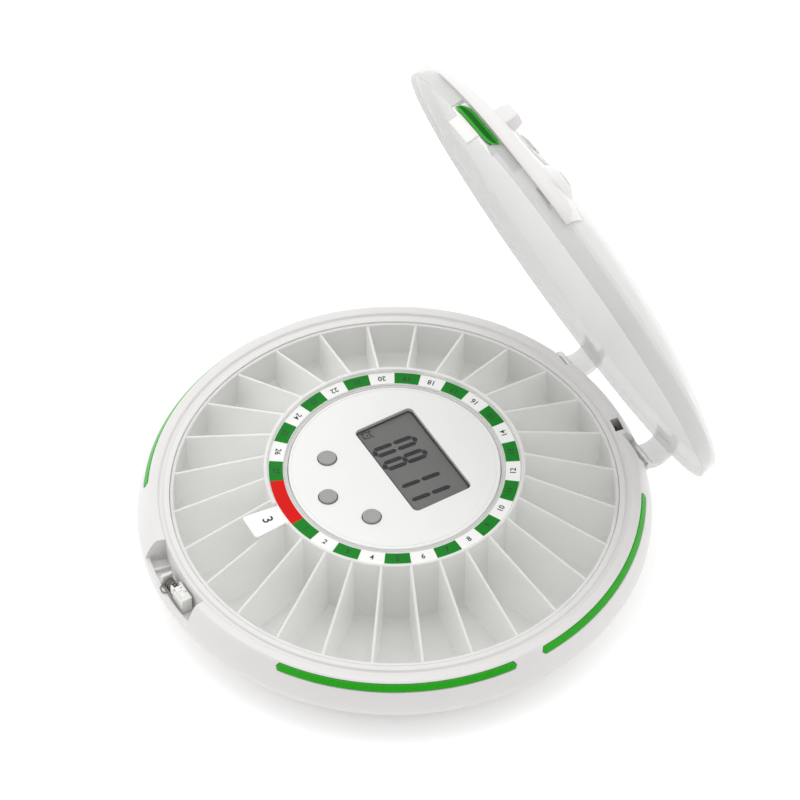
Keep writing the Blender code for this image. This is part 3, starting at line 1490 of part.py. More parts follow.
def build_press_bar(empty):
    """The green bar: a slanted face under the housing, guided in the window of the lid's wall."""
    face_low = lid_radius - GAP
    face_high = face_low - PRESS_FACE_RUN
    low = lid_bottom + third_gap
    high = lid_bottom + PRESS_FACE_RISE
    back = face_high - PRESS_TOP_RUN
    outline = [(face_high, high), (face_low, low + GAP), (face_low, low), (back, low), (back, high)]
    start, end = PRESS_AZ - PRESS_HALF_ANGLE, PRESS_AZ + PRESS_HALF_ANGLE
    bar = sector("press_bar", outline, start, end, PRESS_STEPS, GREEN)
    tongue_low = low - TONGUE_DROP
    tongue_inner = face_low - TONGUE_WALL
    tongue = [
        (face_low - third_gap, low + BITE),
        (face_low - third_gap, tongue_low),
        (tongue_inner, tongue_low),
        (tongue_inner, low + BITE),
    ]
    fuse(bar, sector("press_tongue", tongue, TONGUE_START_AZ, TONGUE_END_AZ, TAB_FACETS))
    ride(bar, empty, PIVOT)


def build_latch_cover(empty):
    """The clear inner wall behind the press bar."""
    outer = lid_radius - COVER_INSET
    inner = outer - COVER_WALL
    top = dome_z(outer) - LID_WALL - GAP
    low = dome_z(outer) - LID_WALL - COVER_DROP
    outline = [(outer, top), (outer, low), (inner, low), (inner, top)]
    start, end = PRESS_AZ - COVER_HALF_ANGLE, PRESS_AZ + COVER_HALF_ANGLE
    wall = sector("latch_cover", outline, start, end, COVER_FACETS, LID_FROSTED)
    ride(wall, empty, PIVOT)


def build_lock(empty):
    """The key lock: a bezel on the housing, and a barrel with its keyway and cam that turns in it."""
    place = polar(lock_reach, LOCK_AZ)
    centre = (place.x, place.y)
    seat = dome_z(lid_corner_radius) + HOUSING_PROUD + HOUSING_CORNER + BITE + GAP
    top = seat + BEZEL_HEIGHT
    bezel = cylinder("lock_bezel", BEZEL_RADIUS, seat, top, centre, WIDE_FACETS)
    cut(bezel, cylinder("bezel_bore", BARREL_RADIUS + GAP, seat - OVERRUN, top + OVERRUN, centre))
    ride(bezel, empty, PIVOT)
    barrel_top = top + BARREL_RISE
    barrel_low = barrel_top - BARREL_LENGTH
    barrel = cylinder("lock_barrel", BARREL_RADIUS, barrel_low, barrel_top, centre, material=ZINC)
    keyway = box(
        "keyway",
        (place.x - KEYWAY_WIDTH / 2, place.y - KEYWAY_LENGTH / 2, barrel_top - KEYWAY_DEPTH),
        (place.x + KEYWAY_WIDTH / 2, place.y + KEYWAY_LENGTH / 2, barrel_top + OVERRUN),
    )
    cut(barrel, keyway)
    home = Vector((place.x, place.y, barrel_low))
    axis = make_empty("lock_axis", home, empty, PIVOT)
    ride(barrel, axis, home)
    cam_top = barrel_low - GAP
    cam = box(
        "lock_cam",
        (place.x - CAM_WIDTH / 2, place.y - CAM_WIDTH / 2, cam_top - CAM_THICKNESS),
        (place.x + CAM_WIDTH / 2, place.y - CAM_WIDTH / 2 + CAM_LENGTH, cam_top),
        ZINC,
    )
    ride(cam, axis, home)


def build():
    build_base_housing()
    build_light_strips()
    build_base_plate()
    build_base_screws()
    build_feet()
    build_battery_bay()
    build_tray()
    build_dosage_ring()
    build_drive()
    build_motor()
    build_hub_cover()
    build_display()
    build_buttons()
    build_board()
    build_catch()
    build_hinge()
    lid_empty = make_empty("lid_hinge", PIVOT)
    build_lid(lid_empty)
    build_lid_housing(lid_empty)
    build_press_bar(lid_empty)
    build_latch_cover(lid_empty)
    build_lock(lid_empty)
    build_pill_door(lid_empty)
    lid_empty.rotation_euler.x = math.radians(-OPEN_ANGLE)
    bpy.context.view_layer.update()


build()
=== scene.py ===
# %% [markdown]
# # Dressing an electronic pill box
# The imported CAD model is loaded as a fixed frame. Every cell below makes one visible piece of the box
# around it: the piece's mesh is written straight into its place, in metres, and then it rides on the CAD
# body that moves it. Sizes are written in millimetres, because that is how such a product is drawn.

import math
from functools import partial

import bmesh
import bpy
from mathutils import Matrix, Vector


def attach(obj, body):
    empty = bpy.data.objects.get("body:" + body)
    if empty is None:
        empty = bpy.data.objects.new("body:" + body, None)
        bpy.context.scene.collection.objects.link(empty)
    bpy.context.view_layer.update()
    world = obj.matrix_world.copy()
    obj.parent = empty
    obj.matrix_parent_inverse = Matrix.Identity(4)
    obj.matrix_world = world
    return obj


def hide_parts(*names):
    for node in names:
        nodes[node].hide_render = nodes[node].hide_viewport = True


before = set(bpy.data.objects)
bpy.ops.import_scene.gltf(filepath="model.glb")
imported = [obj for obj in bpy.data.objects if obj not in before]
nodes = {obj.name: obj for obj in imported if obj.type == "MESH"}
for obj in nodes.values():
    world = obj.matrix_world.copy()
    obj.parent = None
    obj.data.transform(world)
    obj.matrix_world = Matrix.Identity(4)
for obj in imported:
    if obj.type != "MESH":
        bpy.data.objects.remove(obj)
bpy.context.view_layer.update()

# %% [markdown]
# ## Working in millimetres, round one axis
# Almost every piece of this box is turned: it is a profile carried round the tray's axis. Blender has a
# Spin tool and a Screw modifier for that, but writing the rings directly gives exact control over where
# each facet lies, so that is what is done here. Azimuths are in degrees, anticlockwise from +X, seen from
# above.

# %% Measures and small helpers
MM = 0.001
TURN_STEPS = 280
SMOOTH_ANGLE = 32.0


def polar(radius, azimuth, z=0.0):
    angle = math.radians(azimuth)
    return Vector((radius * math.cos(angle), radius * math.sin(angle), z))


def spot(radius, azimuth):
    """A place seen from above."""
    return tuple(polar(radius, azimuth))[:2]


def level(loop, z):
    """An outline seen from above, at a height."""
    return [(x, y, z) for x, y in loop]


def upright(loop, x):
    """An outline seen from the side, at a place along X."""
    return [(x, y, z) for y, z in loop]


def arc(centre, radius, start, end, steps):
    """Points of an arc in a plane, from one angle in degrees to another."""
    angles = [math.radians(start + (end - start) * i / steps) for i in range(steps + 1)]
    return [(centre[0] + radius * math.cos(a), centre[1] + radius * math.sin(a)) for a in angles]


def rounded(outline, steps=4):
    """The outline with every corner that names a radius, as its third number, turned into a curve."""
    points = []
    for number, corner in enumerate(outline):
        here = Vector(corner[:2])
        if len(corner) == 2:
            points.append(tuple(here))
            continue
        before = Vector(outline[number - 1][:2]) - here
        after = Vector(outline[(number + 1) % len(outline)][:2]) - here
        reach = corner[2] / math.tan(before.angle(after) / 2)
        reach = min(reach, 0.49 * before.length, 0.49 * after.length)
        start = here + before.normalized() * reach
        end = here + after.normalized() * reach
        for i in range(steps + 1):
            t = i / steps
            points.append(tuple(start * (1 - t) ** 2 + here * 2 * t * (1 - t) + end * t * t))
    return points


def smoothed(mesh):
    mesh.shade_smooth()
    mesh.set_sharp_from_angle(angle=math.radians(SMOOTH_ANGLE))
    return mesh


def clean(mesh, merge=0.002):
    """Merges doubles, drops loose edges, turns the faces outwards and keeps only real edges sharp."""
    shape = bmesh.new()
    shape.from_mesh(mesh)
    bmesh.ops.remove_doubles(shape, verts=shape.verts, dist=merge * MM)
    loose = [edge for edge in shape.edges if not edge.link_faces]
    bmesh.ops.delete(shape, geom=loose, context="EDGES")
    bmesh.ops.recalc_face_normals(shape, faces=shape.faces)
    shape.to_mesh(mesh)
    shape.free()
    return smoothed(mesh)


def lofted(loops, ring=False):
    """A skin over loops of equally many points, in millimetres, closed by its end loops or on itself."""
    count = len(loops[0])
    points = [Vector(p) * MM for loop in loops for p in loop]
    faces = []
    for i in range(len(loops) if ring else len(loops) - 1):
        first = i * count
        second = (i + 1) % len(loops) * count
        for j in range(count):
            k = (j + 1) % count
            faces.append((first + j, first + k, second + k, second + j))
    if not ring:
        last = (len(loops) - 1) * count
        faces.append(tuple(range(count)))
        faces.append(tuple(last + j for j in reversed(range(count))))
    mesh = bpy.data.meshes.new("lofted")
    mesh.from_pydata(points, [], faces)
    return clean(mesh)


def turned(outline, start=0.0, sweep=360.0, steps=TURN_STEPS, centre=(0.0, 0.0)):
    """A closed outline carried round the axis, or part of the way. Its corners are (radius, height), with a
    third number where they are round."""
    full = sweep == 360.0
    outline = rounded(outline)
    loops = []
    for i in range(steps if full else steps + 1):
        azimuth = start + sweep * i / steps
        loops.append([polar(r, azimuth, z) + Vector((*centre, 0.0)) for r, z in outline])
    return lofted(loops, ring=full)


def prism(loop, bottom, top):
    """An outline in the XY plane, given a thickness."""
    return lofted([level(loop, z) for z in (bottom, top)])


def plate(loop, bottom, top, edge, steps=3):
    """A flat outline with softly rounded edges: each step draws the loop in along its own normals."""
    angles = [math.pi / 2 * i / steps for i in reversed(range(steps + 1))]
    lower = [(bottom + edge * (1 - math.sin(a)), edge * (1 - math.cos(a))) for a in angles]
    upper = [(top - (z - bottom), inset) for z, inset in reversed(lower)]
    return lofted([level(drawn_in(loop, inset), z) for z, inset in lower + upper])


def drawn_in(loop, inset):
    """The outline moved inwards by an inset, along the normal at each of its points."""
    points = []
    for number, here in enumerate(loop):
        before = Vector(loop[number - 1])
        after = Vector(loop[(number + 1) % len(loop)])
        along = (after - before).normalized()
        points.append((here[0] - along.y * inset, here[1] + along.x * inset))
    return points


def rectangle(half_x, half_y, corner, centre=(0.0, 0.0), steps=6):
    """A rectangle with round corners, anticlockwise."""
    points = []
    for quarter, (sx, sy) in enumerate(((1, 1), (-1, 1), (-1, -1), (1, -1))):
        middle = (centre[0] + sx * (half_x - corner), centre[1] + sy * (half_y - corner))
        points += arc(middle, corner, 90 * quarter, 90 * quarter + 90, steps)
    return points


def circle(radius, centre=(0.0, 0.0), steps=48):
    return arc(centre, radius, 0.0, 360.0 - 360.0 / steps, steps - 1)


def block(low, high):
    (x0, y0, z0), (x1, y1, z1) = low, high
    return prism([(x0, y0), (x1, y0), (x1, y1), (x0, y1)], z0, z1)


def gathered(*meshes):
    """Several meshes as one, none of them overlapping."""
    shape = bmesh.new()
    for mesh in meshes:
        shape.from_mesh(mesh)
    made = bpy.data.meshes.new("gathered")
    shape.to_mesh(made)
    shape.free()
    return smoothed(made)


def evaluated(holder):
    """What an object's modifiers make of it, as a plain mesh; the object is removed."""
    bpy.context.view_layer.update()
    graph = bpy.context.evaluated_depsgraph_get()
    mesh = bpy.data.meshes.new_from_object(holder.evaluated_get(graph))
    bpy.data.objects.remove(holder, do_unlink=True)
    return mesh


def holder_of(data):
    made = bpy.data.objects.new("holder", data)
    bpy.context.scene.collection.objects.link(made)
    return made


def carved(mesh, *tools, operation="DIFFERENCE"):
    """The mesh with each tool cut away from it, or joined to it; the tools are used up."""
    holder = holder_of(mesh)
    helpers = [holder_of(tool) for tool in tools]
    for helper in helpers:
        step = holder.modifiers.new("step", "BOOLEAN")
        step.operation = operation
        step.solver = "EXACT"
        step.object = helper
    made = evaluated(holder)
    for helper in helpers:
        bpy.data.objects.remove(helper, do_unlink=True)
    return clean(made, merge=0.0005)


print("a full turn has", TURN_STEPS, "facets")

# %% [markdown]
# ## Nodes, colours and finishes
# A finish starts from what the real one is. Nearly all of this box is injection-moulded plastic, so most
# finishes share one recipe: a Principled shader, two close colours mixed by slow clouds, a fine grain from
# the mould's surface as bump, and a roughness that wanders a little. What differs is the real material:
# its colour, its index of refraction, how much light it lets through, and the size of its grain.

# %% The node helper and the moulded recipe
def add_node(tree, kind, values=None, links=None, **settings):
    """Adds a node with its settings, the values of its inputs, and what feeds them: a socket, or a node, of
    which the first output is taken."""
    node = tree.nodes.new(kind)
    for name, value in settings.items():
        setattr(node, name, value)
    for socket, value in (values or {}).items():
        node.inputs[socket].default_value = value
    for socket, feed in (links or {}).items():
        tree.links.new(getattr(feed, "outputs", [feed])[0], node.inputs[socket])
    return node


def linear(code):
    """An sRGB hex value as the linear colour that shaders expect."""
    channels = [int(code[i : i + 2], 16) / 255 for i in (0, 2, 4)]
    return (*[c / 12.92 if c <= 0.04045 else ((c + 0.055) / 1.055) ** 2.4 for c in channels], 1.0)


def finish(name, colours, roughness, grain, relief, cloud=18.0, **fixed):
    """A Principled finish. Grain, cloud and relief are in millimetres, and fixed values go straight onto the
    shader's own sockets."""
    made = bpy.data.materials.new(name)
    made.use_nodes = True
    made.node_tree.nodes.clear()
    add = partial(add_node, made.node_tree)
    place = add("ShaderNodeTexCoord").outputs["Object"]
    slow = add("ShaderNodeTexNoise", {"Scale": 1 / (cloud * MM), "Detail": 2.0}, {"Vector": place})
    fine = add("ShaderNodeTexNoise", {"Scale": 1 / (grain * MM), "Detail": 4.0}, {"Vector": place})
    tint = add(
        "ShaderNodeMix", {6: linear(colours[0]), 7: linear(colours[-1])}, {0: slow}, data_type="RGBA"
    ).outputs[2]
    gloss = add(
        "ShaderNodeMapRange",
        {"From Min": 0.3, "From Max": 0.7, "To Min": roughness[0], "To Max": roughness[1]}, {"Value": fine}
    )
    normal = add("ShaderNodeBump", {"Strength": 0.6, "Distance": relief * MM}, {"Height": fine})
    shader = add(
        "ShaderNodeBsdfPrincipled", {key.replace("_", " "): value for key, value in fixed.items()},
        {"Base Color": tint, "Roughness": gloss, "Normal": normal}
    )
    add("ShaderNodeOutputMaterial", None, {"Surface": shader})
    return made


# %% [markdown]
# ABS is opaque, slightly warm and has a dull sheen from the spark-eroded mould. Polypropylene and
# polycarbonate are see-through but frosted: light passes and is blurred on the way. Acrylic stays glossy.
# Card and ink are matt. Steel and zinc are metals, so their colour is the colour of their reflection.

# %% Finishes of the box
# Spark-eroded ABS: a soft white, its grain of a third of a millimetre drawn a little coarser
WHITE = finish("moulded_white_abs", ("DCDAD9", "E1DFDE"), (0.32, 0.42), 0.45, 0.006, IOR=1.53)
# The hub's cover is moulded from the same ABS in a cleaner white, with a silkier mould
HUB_WHITE = finish("silky_white_abs", ("E9E9E7", "EDEDEB"), (0.36, 0.44), 0.40, 0.004, IOR=1.53)
# Frosted polypropylene: milky and waxy. Light runs on inside it and leaves it everywhere, so its walls
# never go dark in a deep pocket; a faint painted glow, its white emission, stands for that light and lifts
# the shade in the pockets
FROSTED = finish(
    "frosted_polypropylene", ("F7F7F5", "FCFCFA"), (0.38, 0.48), 0.60, 0.003, IOR=1.49, Alpha=0.50,
    Emission_Color=linear("FFFFFF"), Emission_Strength=0.06
)
# Frosted polycarbonate of the lid: clearer and glossier than the tray
LID_FROSTED = finish(
    "frosted_polycarbonate", ("C9C9C7", "D0D0CE"), (0.30, 0.36), 0.80, 0.001, IOR=1.58, Alpha=0.46
)
# Green acrylic, glossy: bright on the light strips, deep in the middle of the press bar
GREEN = finish(
    "green_acrylic", ("1B9A10", "2BAA18"), (0.22, 0.30), 1.20, 0.004, IOR=1.49, Specular_IOR_Level=0.25
)
GREEN_DARK = finish(
    "green_acrylic_deep", ("084C0C", "12701A"), (0.24, 0.34), 0.90, 0.008, cloud=1.2, IOR=1.49,
    Specular_IOR_Level=0.10
)
# Printed card of the dosage ring: matt paper and inks with a fine paper tooth
CARD = finish("printed_card", ("EFEFED", "F4F4F2"), (0.50, 0.62), 0.30, 0.008, IOR=1.45)
CARD_GREEN = finish(
    "green_print_ink", ("117A20", "168426"), (0.50, 0.60), 0.30, 0.008, IOR=1.48, Specular_IOR_Level=0.15
)
CARD_RED = finish(
    "red_print_ink", ("D00A06", "D80E08"), (0.50, 0.60), 0.30, 0.008, IOR=1.48, Specular_IOR_Level=0.15
)
INK = finish("black_print_ink", ("0E0E0E", "181818"), (0.40, 0.50), 0.30, 0.004, IOR=1.48)
# The display's glass cell is a neutral grey, its segments nearly black, under a thin clear window
LCD = finish(
    "display_glass_cell", ("696969", "737371"), (0.30, 0.38), 0.60, 0.001, IOR=1.52, Specular_IOR_Level=0.15
)
SEGMENT = finish(
    "display_segment", ("1C1C1C", "222222"), (0.30, 0.38), 0.60, 0.001, IOR=1.52, Specular_IOR_Level=0.15
)
LENS = finish(
    "clear_acrylic_window", ("A8A8A8", "B0B0B0"), (0.03, 0.06), 2.00, 0.001, IOR=1.49, Alpha=0.03,
    Specular_IOR_Level=0.25
)
# Silicone rubber of the buttons: dry and matt
BUTTON = finish("grey_silicone_rubber", ("9A9A99", "A3A3A2"), (0.55, 0.66), 0.35, 0.010, IOR=1.41)
RUBBER = finish("dark_foot_rubber", ("404040", "4C4C4C"), (0.75, 0.88), 0.40, 0.030, IOR=1.52)
# Drawn spring steel, its fine scratches running along the wire, and zinc plate with its cloudy bloom
STEEL = finish(
    "drawn_spring_steel", ("77776F", "8C8C86"), (0.22, 0.34), 0.20, 0.004, cloud=2.0, Metallic=1.0
)
ZINC = finish("zinc_plated_steel", ("9A9A98", "B2B2AE"), (0.24, 0.38), 0.50, 0.004, cloud=4.0, Metallic=1.0)
# Natural nylon and acetal: off-white, with a hint of wax in their sheen
NYLON = finish("natural_nylon", ("E6E6E2", "ECECE8"), (0.32, 0.42), 0.50, 0.004, IOR=1.53)
ACETAL = finish("white_acetal", ("E2E2DC", "EAEAE4"), (0.28, 0.36), 0.60, 0.004, IOR=1.48)
BLACK = finish("black_abs", ("1C1C1C", "262626"), (0.42, 0.55), 0.35, 0.020, IOR=1.53)
# Solder mask over a glass-fibre board: green lacquer with the weave just visible
BOARD = finish("solder_mask_board", ("1A5233", "1F5F3C"), (0.30, 0.42), 0.70, 0.012, IOR=1.55)
# Shrink sleeve of a battery, smooth and slightly glossy
SLEEVE = finish("battery_sleeve", ("34343A", "3E3E45"), (0.22, 0.30), 1.50, 0.004, IOR=1.50)
print(len(bpy.data.materials), "finishes")

# %% [markdown]
# ## Putting a piece in its place
# A finished piece's object stays at the origin, with its place in its mesh. Then it rides on a CAD body,
# and says which CAD nodes it replaces.

# %% Placing
# The body, the slot and the CAD node of what is made of several pieces
HOUSING = ("base", "white_abs", "base_housing")
TRAY = ("tray", "frosted_polypropylene", "pill_tray")
RING = ("tray", "printed_ring", "dosage_ring")
PRESS_BAR = ("press", "green_acrylic", "press_bar")


def piece(name, mesh, material, body, slot, *stands_for):
    made = bpy.data.objects.new(name, mesh)
    bpy.context.scene.collection.objects.link(made)
    mesh.name = name
    mesh.materials.clear()
    mesh.materials.append(material)
    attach(made, body)
    if stands_for:
        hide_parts(*stands_for)
    print(f"{name}: {len(mesh.polygons)} faces on {body}")


# %% [markdown]
# ## Two Geometry Nodes trees that the box needs again and again
# What repeats round the axis, such as the tray's walls and the ring's printed fields, is made once and
# then instanced: points, one for each copy, carry an instance turned by its own index. What follows a
# path, such as a spring, is a curve with a round profile. Both trees end by realizing their instances and
# setting the material, because an exporter drops what is only an instance.

# %% The trees
def new_tree(name, whole, lengths):
    """A tree whose named inputs are whole numbers, lengths or other floats, and a material."""
    tree = bpy.data.node_groups.new(name, "GeometryNodeTree")
    inputs = [("Geometry", "Geometry"), *[(label, "Int") for label in whole]]
    inputs += [*[(label, "Float") for label in lengths], ("Material", "Material")]
    for label, kind in inputs:
        tree.interface.new_socket(label, in_out="INPUT", socket_type="NodeSocket" + kind)
    tree.interface.new_socket("Geometry", in_out="OUTPUT", socket_type="NodeSocketGeometry")
    add = partial(add_node, tree)
    return tree, add, add("NodeGroupInput").outputs


def finished_tree(tree, add, given, geometry):
    """Ends a tree: real geometry, one material, then the output."""
    real = add("GeometryNodeRealizeInstances", None, {"Geometry": geometry})
    painted = add("GeometryNodeSetMaterial", None, {"Geometry": real, "Material": given["Material"]})
    add("NodeGroupOutput", None, {"Geometry": painted})
    return tree


def tree_round_axis():
    """Copies of the incoming mesh round Z: how many, the first one's azimuth, and the step between them."""
    tree, add, given = new_tree("copies_round_the_axis", ["Count"], ["First Azimuth", "Step"])
    points = add("GeometryNodePoints", None, {"Count": given["Count"]})
    index = add("GeometryNodeInputIndex")
    turned_by = add(
        "ShaderNodeMath", None, {0: index, 1: given["Step"], 2: given["First Azimuth"]},
        operation="MULTIPLY_ADD"
    )
    radians = add("ShaderNodeMath", None, {0: turned_by}, operation="RADIANS")
    euler = add("ShaderNodeCombineXYZ", None, {"Z": radians})
    rotation = add("FunctionNodeEulerToRotation", None, {0: euler})
    copies = add(
        "GeometryNodeInstanceOnPoints", None,
        {"Points": points, "Instance": given["Geometry"], "Rotation": rotation}
    )
    return finished_tree(tree, add, given, copies)


def tree_wire():
    """A round wire along the incoming curve: its radius and the number of its sides."""
    tree, add, given = new_tree("wire_along_a_path", ["Sides"], ["Radius"])
    section = add(
        "GeometryNodeCurvePrimitiveCircle", None, {"Resolution": given["Sides"], "Radius": given["Radius"]}
    )
    skin = add(
        "GeometryNodeCurveToMesh", {"Fill Caps": True},
        {"Curve": given["Geometry"], "Profile Curve": section}
    )
    smooth = add("GeometryNodeSetShadeSmooth", {"Shade Smooth": True}, {0: skin})
    return finished_tree(tree, add, given, smooth)


def grown(data, tree, values):
    """A mesh or curve after a Geometry Nodes tree, as a plain mesh. Inputs are set by their identifiers."""
    holder = holder_of(data)
    modifier = holder.modifiers.new("tree", "NODES")
    modifier.node_group = tree
    for item in tree.interface.items_tree:
        if item.in_out == "INPUT" and item.name in values:
            modifier[item.identifier] = values[item.name]
    return evaluated(holder)


ROUND_AXIS = tree_round_axis()
WIRE = tree_wire()


def path_curve(points):
    """A poly curve through points in millimetres."""
    curve = bpy.data.curves.new("path", "CURVE")
    curve.dimensions = "3D"
    spline = curve.splines.new("POLY")
    spline.points.add(len(points) - 1)
    for knot, place in zip(spline.points, points):
        knot.co = (*(Vector(place) * MM), 1.0)
    return curve


def wire(points, radius, material):
    values = {"Radius": radius * MM, "Sides": 12, "Material": material}
    return clean(grown(path_curve(points), WIRE, values))


print("trees:", [tree.name for tree in bpy.data.node_groups])

# %% [markdown]
# ## Camera, light and table
# The photograph is a long-lens product shot from high up and half to the right, on white. The camera's
# place comes from fitting the ellipses of the tray and the ring. Big soft lamps and a bright surround
# leave almost no shadow, only a soft shade in the pockets.

# %% The shot
CAMERA_AZIMUTH = 59.5
CAMERA_ELEVATION = 49.6
CAMERA_DISTANCE = 2.115
CAMERA_LENS = 247.4
CAMERA_ROLL = 0.1
RING_HEIGHT = 0.042
AIM_SHIFT = (0.0021, 0.02585)
TOWARDS_CAMERA = (0.86, -0.51, 0.0)


def shot_camera():
    a = math.radians(CAMERA_AZIMUTH)
    e = math.radians(CAMERA_ELEVATION)
    back = Vector((math.sin(a) * math.cos(e), -math.cos(a) * math.cos(e), math.sin(e)))
    right = Vector((math.cos(a), math.sin(a), 0.0))
    up = back.cross(right)
    aim = Vector((0.0, 0.0, RING_HEIGHT))
    place = aim + back * CAMERA_DISTANCE
    aim += right * AIM_SHIFT[0] + up * AIM_SHIFT[1]
    camera = bpy.data.objects.new("shot_camera", bpy.data.cameras.new("shot_camera"))
    camera.data.lens = CAMERA_LENS
    camera.data.sensor_width = 36.0
    camera.data.clip_end = 20.0
    camera.location = place
    roll = Matrix.Rotation(math.radians(CAMERA_ROLL), 3, "Z")
    camera.rotation_euler = ((aim - place).to_track_quat("-Z", "Y").to_matrix() @ roll).to_euler()
    bpy.context.scene.collection.objects.link(camera)
    bpy.context.scene.camera = camera


def soft_lamp(name, place, size, power):
    lamp = bpy.data.lights.new(name, "AREA")
    lamp.shape = "DISK"
    lamp.size = size
    lamp.energy = power
    made = bpy.data.objects.new(name, lamp)
    made.location = place
    made.rotation_euler = (Vector((0.0, 0.0, 0.05)) - Vector(place)).to_track_quat("-Z", "Y").to_euler()
    bpy.context.scene.collection.objects.link(made)


shot_camera()
soft_lamp("overhead_softbox", (-0.3, 0.2, 1.8), 1.8, 7.6)
soft_lamp("window_side_softbox", (-1.5, -0.8, 1.0), 1.4, 0.8)

world = bpy.data.worlds.new("white_surround")
world.use_nodes = True
world.node_tree.nodes.clear()
add_light = partial(add_node, world.node_tree)
# The room behind the camera is dimmer than the white sweep, so the near flank falls off a little
heading = add_light("ShaderNodeTexCoord").outputs["Generated"]
nearness = add_light(
    "ShaderNodeVectorMath", {1: TOWARDS_CAMERA}, {0: heading}, operation="DOT_PRODUCT"
).outputs["Value"]
strength = add_light(
    "ShaderNodeMapRange", {"From Min": 0.1, "From Max": 0.95, "To Min": 1.14, "To Max": 0.42},
    {"Value": nearness}
)
surround = add_light("ShaderNodeBackground", {"Color": linear("FFFFFF")}, {"Strength": strength})
add_light("ShaderNodeOutputWorld", None, {"Surface": surround})
bpy.context.scene.world = world
bpy.context.scene.view_settings.view_transform = "Standard"

# The table is lit from below as well, which takes the shadow out of a catalogue picture
TABLE = finish(
    "pale_backlit_acrylic", ("FDFDFD", "FFFFFF"), (0.55, 0.65), 1.0, 0.002, cloud=200.0,
    Emission_Color=linear("FFFFFF"), Emission_Strength=0.16
)
table_mesh = block((-2500.0, -2500.0, -10.0), (2500.0, 2500.0, -0.1))
table = bpy.data.objects.new("table", table_mesh)
table_mesh.materials.append(TABLE)
bpy.context.scene.collection.objects.link(table)
print("lens", CAMERA_LENS, "mm, distance", CAMERA_DISTANCE, "m")

# %% [markdown]
# ## Base housing
# The base is one big white moulding: a deep round well with a hub tower in its middle, a rim with a
# groove, and a skirt that bulges out and back in like a dish. The skirt follows a rule, one curve above
# its widest line and one below, so a Geometry Nodes tree moves the skirt's points to that rule by their
# height. The blank is a turned profile; the notch for the latch, the hinge's slots, the spring's pocket
# and the beds of the light strips are then cut with Booleans, because their walls run across the turned
# shape.

# %% The skirt's rule
WIDEST = 99.9
WIDEST_Z = 17.0
RIM_Z = 29.0
FOOT_Z = 1.8
BULGE = 4.7
FOOT_INSET = 12.0
FOOT_POWER = 1.35


def skirt_radius(z):
    if z >= WIDEST_Z:
        return WIDEST - BULGE * ((z - WIDEST_Z) / (RIM_Z - WIDEST_Z)) ** 2
    return WIDEST - FOOT_INSET * ((WIDEST_Z - z) / (WIDEST_Z - FOOT_Z)) ** FOOT_POWER


SKIRT_SIZES = {
    "Widest Radius": WIDEST * MM, "Widest Height": WIDEST_Z * MM, "Rim Height": RIM_Z * MM,
    "Foot Height": FOOT_Z * MM, "Bulge": BULGE * MM, "Foot Inset": FOOT_INSET * MM, "Foot Power": FOOT_POWER
}


def tree_skirt():
    """Moves every point that carries a skirt depth to the skirt's rule, less that depth."""
    tree, add, given = new_tree("skirt_rule", [], SKIRT_SIZES)

    def calc(operation, *inputs):
        values = {i: v for i, v in enumerate(inputs) if isinstance(v, (int, float))}
        links = {i: v for i, v in enumerate(inputs) if not isinstance(v, (int, float))}
        return add("ShaderNodeMath", values, links, operation=operation)

    depth = add("GeometryNodeInputNamedAttribute", {"Name": "skirt_depth"}, data_type="FLOAT")
    place = add("GeometryNodeInputPosition")
    parts = add("ShaderNodeSeparateXYZ", None, {0: place})
    x, y, z = parts.outputs["X"], parts.outputs["Y"], parts.outputs["Z"]
    widest_z = given["Widest Height"]
    above = calc("DIVIDE", calc("SUBTRACT", z, widest_z), calc("SUBTRACT", given["Rim Height"], widest_z))
    below = calc("DIVIDE", calc("SUBTRACT", widest_z, z), calc("SUBTRACT", widest_z, given["Foot Height"]))
    upper = calc("MULTIPLY", given["Bulge"], calc("POWER", calc("MAXIMUM", above, 0.0), 2.0))
    lower = calc(
        "MULTIPLY", given["Foot Inset"], calc("POWER", calc("MAXIMUM", below, 0.0), given["Foot Power"])
    )
    drawn = calc("SUBTRACT", calc("SUBTRACT", given["Widest Radius"], upper), lower)
    radius = calc("SUBTRACT", drawn, depth.outputs["Attribute"])
    angle = calc("ARCTAN2", y, x)
    new_x = calc("MULTIPLY", radius, calc("COSINE", angle))
    new_y = calc("MULTIPLY", radius, calc("SINE", angle))
    moved = add("ShaderNodeCombineXYZ", None, {"X": new_x, "Y": new_y, "Z": z})
    shaped = add(
        "GeometryNodeSetPosition", None,
        {"Geometry": given["Geometry"], "Selection": depth.outputs["Exists"], "Position": moved}
    )
    return finished_tree(tree, add, given, shaped)


print("skirt radius at the rim and the foot:", [round(skirt_radius(z), 2) for z in (RIM_Z, FOOT_Z)])

# %% The blank and its cuts
HUB_R = 40.9
WELL_R = 87.5
WELL_Z = 9.2
DECK_Z = 20.1
SHOULDER_R = 48.0
SKIN = 2.2
STRIP_Z = (25.9, 28.3)
STRIP_SPANS = ((121.0, 175.0), (182.0, 238.0), (5.0, 59.0), (-58.0, -2.0))
NOTCH_AZ = (255.5, 277.0)
NOTCH_R = 91.3
NOTCH_Z = 17.5
LIP_Z = 20.2
LIP_INNER = skirt_radius(LIP_Z) - 1.6
PIVOT = Vector((0.0, 94.3, 20.0))
ARM_X = (21.3, 32.8)
PIN_BORE_R = 1.55
# The hinge spring shows in a pocket of the rim: its first azimuth and its sweep
SPRING_POCKET = (78.4, 3.9)
POCKET_SKIN = 0.7
POCKET_Z = 17.2
SCREWS = [spot(72.0, 45.0 + 90.0 * i) for i in range(4)]


